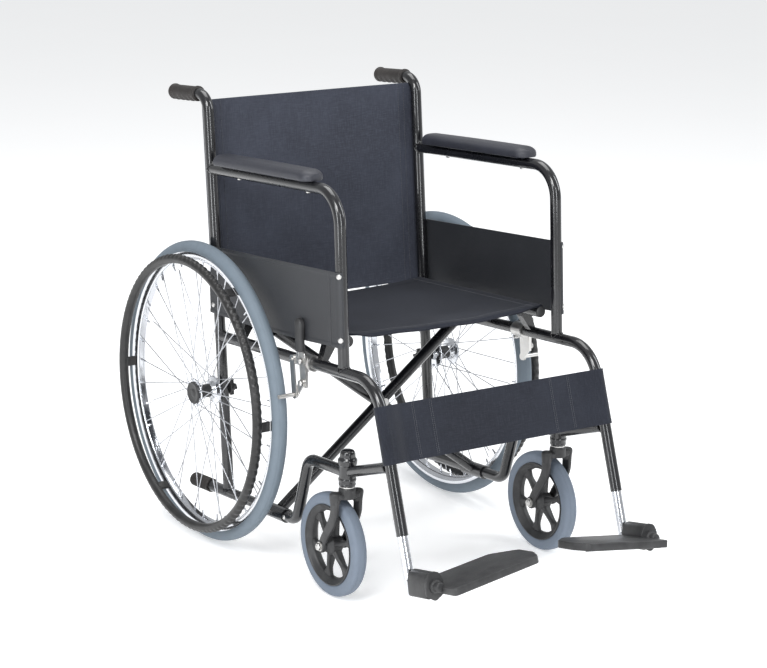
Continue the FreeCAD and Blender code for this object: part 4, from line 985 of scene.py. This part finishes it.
def calf_strap():
    """Leg strap wrapped round both hangers, its ends doubled back and sewn."""
    def depth(x, edge):
        inner = abs(edge[0])
        return edge[1] * (1 - smooth(inner - np.abs(x), 0, 40)) \
            - 7.0 * (1 - (x / inner) ** 2)
    run = wrapped_run(SIDE, TUBE + 1.3, -150, 30, depth, 120)
    down = 44 + 106 * np.concatenate([np.linspace(0, 0.16, 8), np.linspace(0.2, 0.8, 14),
                                      np.linspace(0.84, 1, 8)])
    points = spread(HANGER_CORNER, (X, HANGER_AHEAD, HANGER_DOWN), run[None, :, 0],
                    run[None, :, 1], down[:, None])
    edge = np.minimum(down - 44, 150 - down)[:, None]
    inboard = (SIDE - np.abs(run[:, 0]))[None, :]
    thick = 1.8 + hem(edge, 9, 0.7) + hem(inboard, 112, 0.7)
    normal = surface_normal(points, HANGER_AHEAD)
    sewn = sewn_along(points, thick, normal, seam_columns(run, SIDE, (66, 71, 106, 111)))
    return cloth(points, normal, thick), sewn


def hang_sling(name, shells, ride_on=None, bend=None, cover=NYLON):
    """Makes a sling and its stitching; given ride_on, both move with that body of the frame, and otherwise both
    stay where they are made.
    """
    sheet = make_piece(name, shells[0], cover, ride_on, [name], 60)
    sewn = make_piece(name + "_stitching", shells[1], THREAD, ride_on)
    for piece in (sheet, sewn):
        if bend:
            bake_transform(piece)
        else:
            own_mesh(piece)


hang_sling("back_sling", back_sling(),
           ride_on="right_frame")
hang_sling("seat_sling", seat_sling(),
           bend=(level(222, 200, 158), level(-222, 200, 158)), cover=SEAT_CLOTH)
hang_sling("calf_strap", calf_strap(),
           ride_on="right_frame", cover=STRAP)


# --------------------------------------------------------- armrest pads and side panels
def arm_pad():
    """Moulded foam pad: flat base, upright sides and a crowned top with broad bevels. The
    plan narrows as half an ellipse at the front and more tightly at the rear."""
    length = 340.0
    t = np.concatenate([np.sin(np.linspace(0, math.pi / 2, 9)) * 0.03,
                        np.linspace(0.034, 0.92, 44),
                        0.925 + 0.075 * np.sin(np.linspace(0, math.pi / 2, 14))])
    run = 32 + length * t
    front = np.clip((run - 346) / 26, 0, 1)
    rear = np.clip((39 - run) / 7, 0, 1)
    wide = 25.0 * np.sqrt(1 - 0.80 * front ** 2.4) * np.sqrt(1 - 0.35 * rear ** 2)
    tall = 21.5 * (1 - 0.36 * front ** 2.2 - 0.12 * rear ** 2) + 0.8 * np.sin(
        math.pi * (run - 32) / length)
    base = 0.6 * (front ** 3 + rear ** 3)
    corners = [(-0.9, 0.0), (0.9, 0.0), (1.0, 0.12), (1.0, 0.52), (0.9, 0.72), (0.62, 0.94),
               (0.3, 1.0), (-0.3, 1.0), (-0.62, 0.94), (-0.9, 0.72), (-1.0, 0.52), (-1.0, 0.12)]
    outline = rounded(np.array(corners) * (25, 21), 3.4, 5) / (25, 21)
    across = wide[:, None] * outline[None, :, 0]
    above = 451.3 + base[:, None] + (tall - base)[:, None] * outline[None, :, 1]
    return Shell().grid(spread(AXLE, (X, AHEAD, ABOVE), -SIDE + across, run[:, None], above))


for pad in both_sides("arm_pad", arm_pad(), VINYL, "frame", ["arm_pad"], 50):
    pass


def side_panel():
    """Skirt guard: a sheet with folded edges, a sharp crease behind the front post, a
    slight outward belly, and a lower edge that dips towards its middle."""
    run = np.concatenate([np.linspace(-16, 414, 60), np.linspace(416, 436, 21),
                          np.linspace(438, 461, 16)])
    share = np.concatenate([np.linspace(0, 0.07, 8), np.linspace(0.1, 0.9, 16),
                            np.linspace(0.93, 1, 8)])
    low = 154 - 5 * np.sin(np.clip((run + 16) / 441, 0, 1) * math.pi)
    high = np.interp(run, [-16, 461], [288, 294])
    up = low[:, None] + (high - low)[:, None] * share[None, :]
    edge = np.minimum(share, 1 - share)[None, :] * 138
    belly = 1.2 * np.sin(np.clip((run + 16) / 441, 0, 1) * math.pi)[:, None] \
        * np.sin(share * math.pi)[None, :]
    crease = 2.0 * np.exp(-((run - 428) / 2.6) ** 2)[:, None]
    fold = 0.9 * (1 - smooth(edge, 6, 8))
    past = np.clip(run - 450, 0, 12)[:, None]
    outer = -(SIDE + np.sqrt(13.2 ** 2 - past ** 2) + belly - crease + fold)
    inner = -(SIDE + np.sqrt(11.5 ** 2 - past ** 2) + belly - crease)
    front = np.stack([outer, run[:, None] + 0 * up, up], -1)
    back = np.stack([inner, run[:, None] + 0 * up, up], -1)
    loop = np.concatenate([front, back[:, ::-1]], 1)
    return Shell().grid(level(loop[..., 0], loop[..., 1], loop[..., 2]))


both_sides("side_panel", side_panel(), PANEL, "frame", ["side_panel"], 30)


def panel_screws():
    shell = Shell()
    for above in (286, 168):
        dome(shell, level(-(SIDE + 10.2), 457.5, above), 0.6 * AHEAD - 0.8 * X, 5.2, 2.8)
    for above in (272, 170):
        dome(shell, level(-(SIDE + 13.0), -4, above), -X, 5.2, 2.8)
    dome(shell, level(-(SIDE + 10.4), 236, -214), -X, 4.6, 2.6)
    for ahead in (95, 345):
        dome(shell, level(-SIDE, ahead, 429.6), -ABOVE, 4.6, 3.0)
    return shell


both_sides("screws", panel_screws(), ZINC, "frame")


# --------------------------------------------------------------------- frame details
def weld(centre, run, post, radius=11.0):
    """Fillet where one tube meets another of the same size: round the joining tube the
    seam stands off by the root of the radius squared less the sideways reach squared, and
    the bead's thickness ripples along it."""
    side = np.cross(run, post)
    angle = np.linspace(0, 2 * math.pi, 72, endpoint=False)
    reach = np.sqrt(np.maximum(radius ** 2 - (radius * np.sin(angle)) ** 2, 2.0))
    path = spread(centre, (run, post, side), reach + 0.5, radius * np.cos(angle),
                  radius * np.sin(angle))
    outward = path - spread(centre, (run,), reach + 0.5)
    outward /= np.linalg.norm(outward, axis=1, keepdims=True)
    turn = np.linspace(0, 2 * math.pi, 9, endpoint=False)
    size = 1.9 + 0.25 * np.sin(angle * 26)
    grid = (path[:, None] + MM * size[:, None, None]
            * (np.cos(turn)[None, :, None] * outward[:, None]
               + np.sin(turn)[None, :, None] * np.asarray(run)[None, None]))
    return grid


def frame_welds():
    shell = Shell()
    lean = math.tan(math.radians(1.8))
    for above in (440, 106):
        shell.grid(weld(level(-SIDE, -above * lean, above), AHEAD, CANE_UP), ring=True)
    shell.grid(weld(level(-SIDE, 450, 106), ABOVE, AHEAD), ring=True)
    shell.grid(weld(level(-SIDE, 214 * lean, -214), ABOVE, AHEAD), ring=True)
    return shell


both_sides("frame_welds", frame_welds(), PAINT, "frame")


def rail_plugs(x):
    """Pressed-in plug at each end of a seat rail."""
    shell = Shell()
    for end, way in ((430, 1), (16, -1)):
        profile = rounded([(-4, 9.0), (0.1, 9.2), (0.2, 10.8), (2.0, 10.2), (2.8, 7.0),
                           (3.0, 0.8)], 0.8, 3, closed=False)
        shell.grid(lathe(profile, level(x, end, 158), way * AHEAD, 28))
    return shell


make_piece("seat_rail_plugs_a", rail_plugs(SEAT_RAIL), PLASTIC, "cross_a")
make_piece("seat_rail_plugs_b", rail_plugs(-SEAT_RAIL), PLASTIC, "cross_b")


# ------------------------------------------------------------------------ footplates
PIN_AXIS = np.array(JOINTS["right_footplate_flip"]["axis"], float)
PIN_AHEAD = PIN_AXIS * -math.copysign(1, PIN_AXIS[1])
PIN_ABOVE = np.array([0.0, PIN_AHEAD[2], -PIN_AHEAD[1]])


# Half the width of the footplate's hinge block.
BOSS = 17.0


def footplate():
    """Moulded plate with eased edges, the hinge block with its rounded top, the taller
    end flange and the stepped knob; ribs beneath the plate."""
    inward, lift = turned(X, PIN_ABOVE, 8)
    base = PLATE_PIN
    outline = rounded([(2, 16), (163, 20), (204, 60), (204, 106), (190, 136), (6, 136), (2, 131)],
                      7.0, 6)
    shell = Shell().grid(slab(outline, -13.0, 1.0, 1.6, base, (inward, PIN_AHEAD, lift)))
    block = rounded([(-BOSS, -22), (BOSS + 1, -22), (BOSS + 1, 8), (BOSS * 0.72, 22.5), (0, 26.8),
                     (-BOSS * 0.72, 22.5), (-BOSS, 8)], 7.0, 6)
    shell.grid(slab(block, 16.0, 74.0, 1.2, base, (X, PIN_ABOVE, PIN_AHEAD)))
    flange = rounded([(-BOSS - 1.5, -15), (0, -27), (BOSS + 2.5, -15), (BOSS + 2.5, 9),
                      (BOSS * 0.72, 23.5), (0, 27.5), (-BOSS * 0.72, 23.5), (-BOSS - 1.5, 9)],
                     5.0, 6)
    shell.grid(slab(flange, 73.0, 78.0, 1.2, base, (X, PIN_ABOVE, PIN_AHEAD)))
    knob = rounded([(77.5, 12.5), (84, 12.3), (85, 9.8), (94, 9.4), (97.5, 8.0), (98, 0.8)], 1.6,
                   4, closed=False)
    shell.grid(lathe(knob, base, PIN_AHEAD, 32))
    for ahead in (44, 70, 96, 118):
        rib = rounded([(8, -1.3), (184, -1.3), (184, 1.3), (8, 1.3)], 1.0, 3)
        spot = spread(base, (PIN_AHEAD,), ahead)
        shell.grid(slab(rib, -15.5, -12.0, 0.5, spot, (inward, PIN_AHEAD, lift), 3))
    return shell


both_sides("footplate", footplate(), PLASTIC, "footplate", ["footplate"], 32)


# ---------------------------------------------------------------------------- brakes
def brake_grip():
    """Flattened moulded handle: waisted below its rounded top."""
    run = np.concatenate([[0, 1.0, 3.0], np.linspace(5, 51, 22),
                          51 + 12 * np.sin(np.linspace(0.05, math.pi / 2, 10))])
    cap = np.sqrt(np.clip(1 - (np.clip(run - 51, 0, 12) / 12.3) ** 2, 0.02, 1))
    foot = np.interp(run, [0, 1, 3], [0.86, 0.97, 1.0])
    narrow = np.sin(np.clip(run / 49, 0, 1) * math.pi)
    half_wide = (11.6 - 1.2 * narrow) * cap * foot
    half_thick = (7.2 - 0.7 * narrow) * (0.35 + 0.65 * cap) * foot
    outline = rounded([(-1, -1), (1, -1), (1, 1), (-1, 1)], 0.75, 6)
    centre = level(-(SIDE + 20), 331, 130)
    rows = spread(centre, (AHEAD, X, ABOVE), half_wide[:, None] * outline[None, :, 0],
                  half_thick[:, None] * outline[None, :, 1], run[:, None])
    return Shell().grid(rows)


def brake_bolts():
    """Bolt heads and nuts of the clamp and the pivots on the bracket."""
    shell = Shell()
    for ahead, above in ((324, 124), (344, 124)):
        hexagon(shell, level(-(SIDE + 16), ahead, above), -X, 5.6, 2.0, 6.0)
    for above in (112, 70):
        dome(shell, level(-(SIDE + 24.5), 334, above), -X, 6.0, 2.6)
    hexagon(shell, level(-SIDE, 318, 90.5), -ABOVE, 6.0, 0.0, 5.0)
    return shell


both_sides("brake_grip", brake_grip(), PLASTIC, "brake_lever", ["brake_grip"])
both_sides("brake_bolts", brake_bolts(), ZINC, "frame")

# -------------------------------------------------------- finishes of the CAD's own nodes
for part in frame["record"]["subparts"]:
    mesh = frame["nodes"][part["node"]].data
    mesh.materials.clear()
    mesh.materials.append(SLOT_OF[part["material_slot"]])


# --------------------------------------------------------------- floor, light and camera
def plain_floor():
    mesh = bpy.data.meshes.new("floor")
    half = 14.0
    mesh.from_pydata([(-half, -half, 0), (half, -half, 0), (half, half, 0), (-half, half, 0)],
                     [], [(0, 1, 2, 3)])
    floor = bpy.data.objects.new("floor", mesh)
    bpy.context.scene.collection.objects.link(floor)
    f = Finish("floor", Specular_IOR_Level=0.0, Emission_Color=(1, 1, 1, 1), Emission_Strength=0.36)
    faint = f.noise(2.0, 2.0)
    mesh.materials.append(f.finish(Base_Color=f.mix(faint, (0.9, 0.9, 0.9), (0.92, 0.92, 0.92)),
                                   Roughness=0.8 + faint * 0.1))


def lamp(name, place, aim, size, watts, colour=(1, 1, 1)):
    """A soft rectangular lamp at a place, facing a point."""
    light = bpy.data.lights.new(name, "AREA")
    light.shape = "RECTANGLE"
    light.size, light.size_y = size
    light.energy = watts
    light.color = colour
    thing = bpy.data.objects.new(name, light)
    thing.location = place
    direction = Vector(aim) - Vector(place)
    thing.rotation_euler = direction.to_track_quat("-Z", "Y").to_euler()
    bpy.context.scene.collection.objects.link(thing)


def studio():
    world = bpy.data.worlds.new("studio")
    world.use_nodes = True
    sky = world.node_tree.nodes["Background"]
    sky.inputs["Color"].default_value = (1.0, 1.0, 1.0, 1)
    sky.inputs["Strength"].default_value = 1.02
    tree = world.node_tree
    room = tree.nodes.new("ShaderNodeBackground")
    room.inputs["Color"].default_value = (0.96, 0.98, 1.0, 1)
    room.inputs["Strength"].default_value = 0.5
    path = tree.nodes.new("ShaderNodeLightPath")
    both = tree.nodes.new("ShaderNodeMixShader")
    tree.links.new(path.outputs["Is Camera Ray"], both.inputs[0])
    tree.links.new(room.outputs[0], both.inputs[1])
    tree.links.new(sky.outputs[0], both.inputs[2])
    tree.links.new(both.outputs[0], tree.nodes["World Output"].inputs["Surface"])
    bpy.context.scene.world = world
    cool = (0.95, 0.975, 1.0)
    lamp("key", (-2.6, -2.2, 3.6), (0, 0, 0.4), (1.6, 1.6), 95)
    lamp("left_strip", (-3.4, -1.2, 1.5), (0, 0, 0.5), (0.45, 2.8), 48, cool)
    lamp("front_strip", (-0.6, -4.2, 1.7), (0, 0, 0.5), (0.4, 2.8), 54, cool)
    lamp("side", (2.8, -1.6, 2.6), (0, 0, 0.5), (0.7, 2.4), 46, cool)
    lamp("top", (0.2, 0.8, 3.8), (0, 0, 0.4), (2.4, 2.4), 62)


def camera():
    """At standing height ahead of the right wheel, level but for a slight lean."""
    azimuth, elevation, roll = (math.radians(a) for a in (-34.06, 14.93, 1.107))
    back = np.array([math.sin(azimuth) * math.cos(elevation),
                     -math.cos(azimuth) * math.cos(elevation), math.sin(elevation)])
    level_right = np.array([math.cos(azimuth), math.sin(azimuth), 0])
    level_up = np.cross(back, level_right)
    right = level_right * math.cos(roll) + level_up * math.sin(roll)
    up = np.cross(back, right)
    view = bpy.data.cameras.new("camera")
    view.sensor_width = 36
    view.lens = 110.55
    view.clip_end = 60
    eye = bpy.data.objects.new("camera", view)
    matrix = np.eye(4)
    matrix[:3, 0], matrix[:3, 1], matrix[:3, 2] = right, up, back
    matrix[:3, 3] = (-2.5132, AXLE[1] - 3.9201, 1.6232)
    eye.matrix_world = Matrix(matrix.tolist())
    bpy.context.scene.collection.objects.link(eye)
    bpy.context.scene.camera = eye


bpy.context.scene.view_settings.view_transform = "Standard"
plain_floor()
studio()
camera()
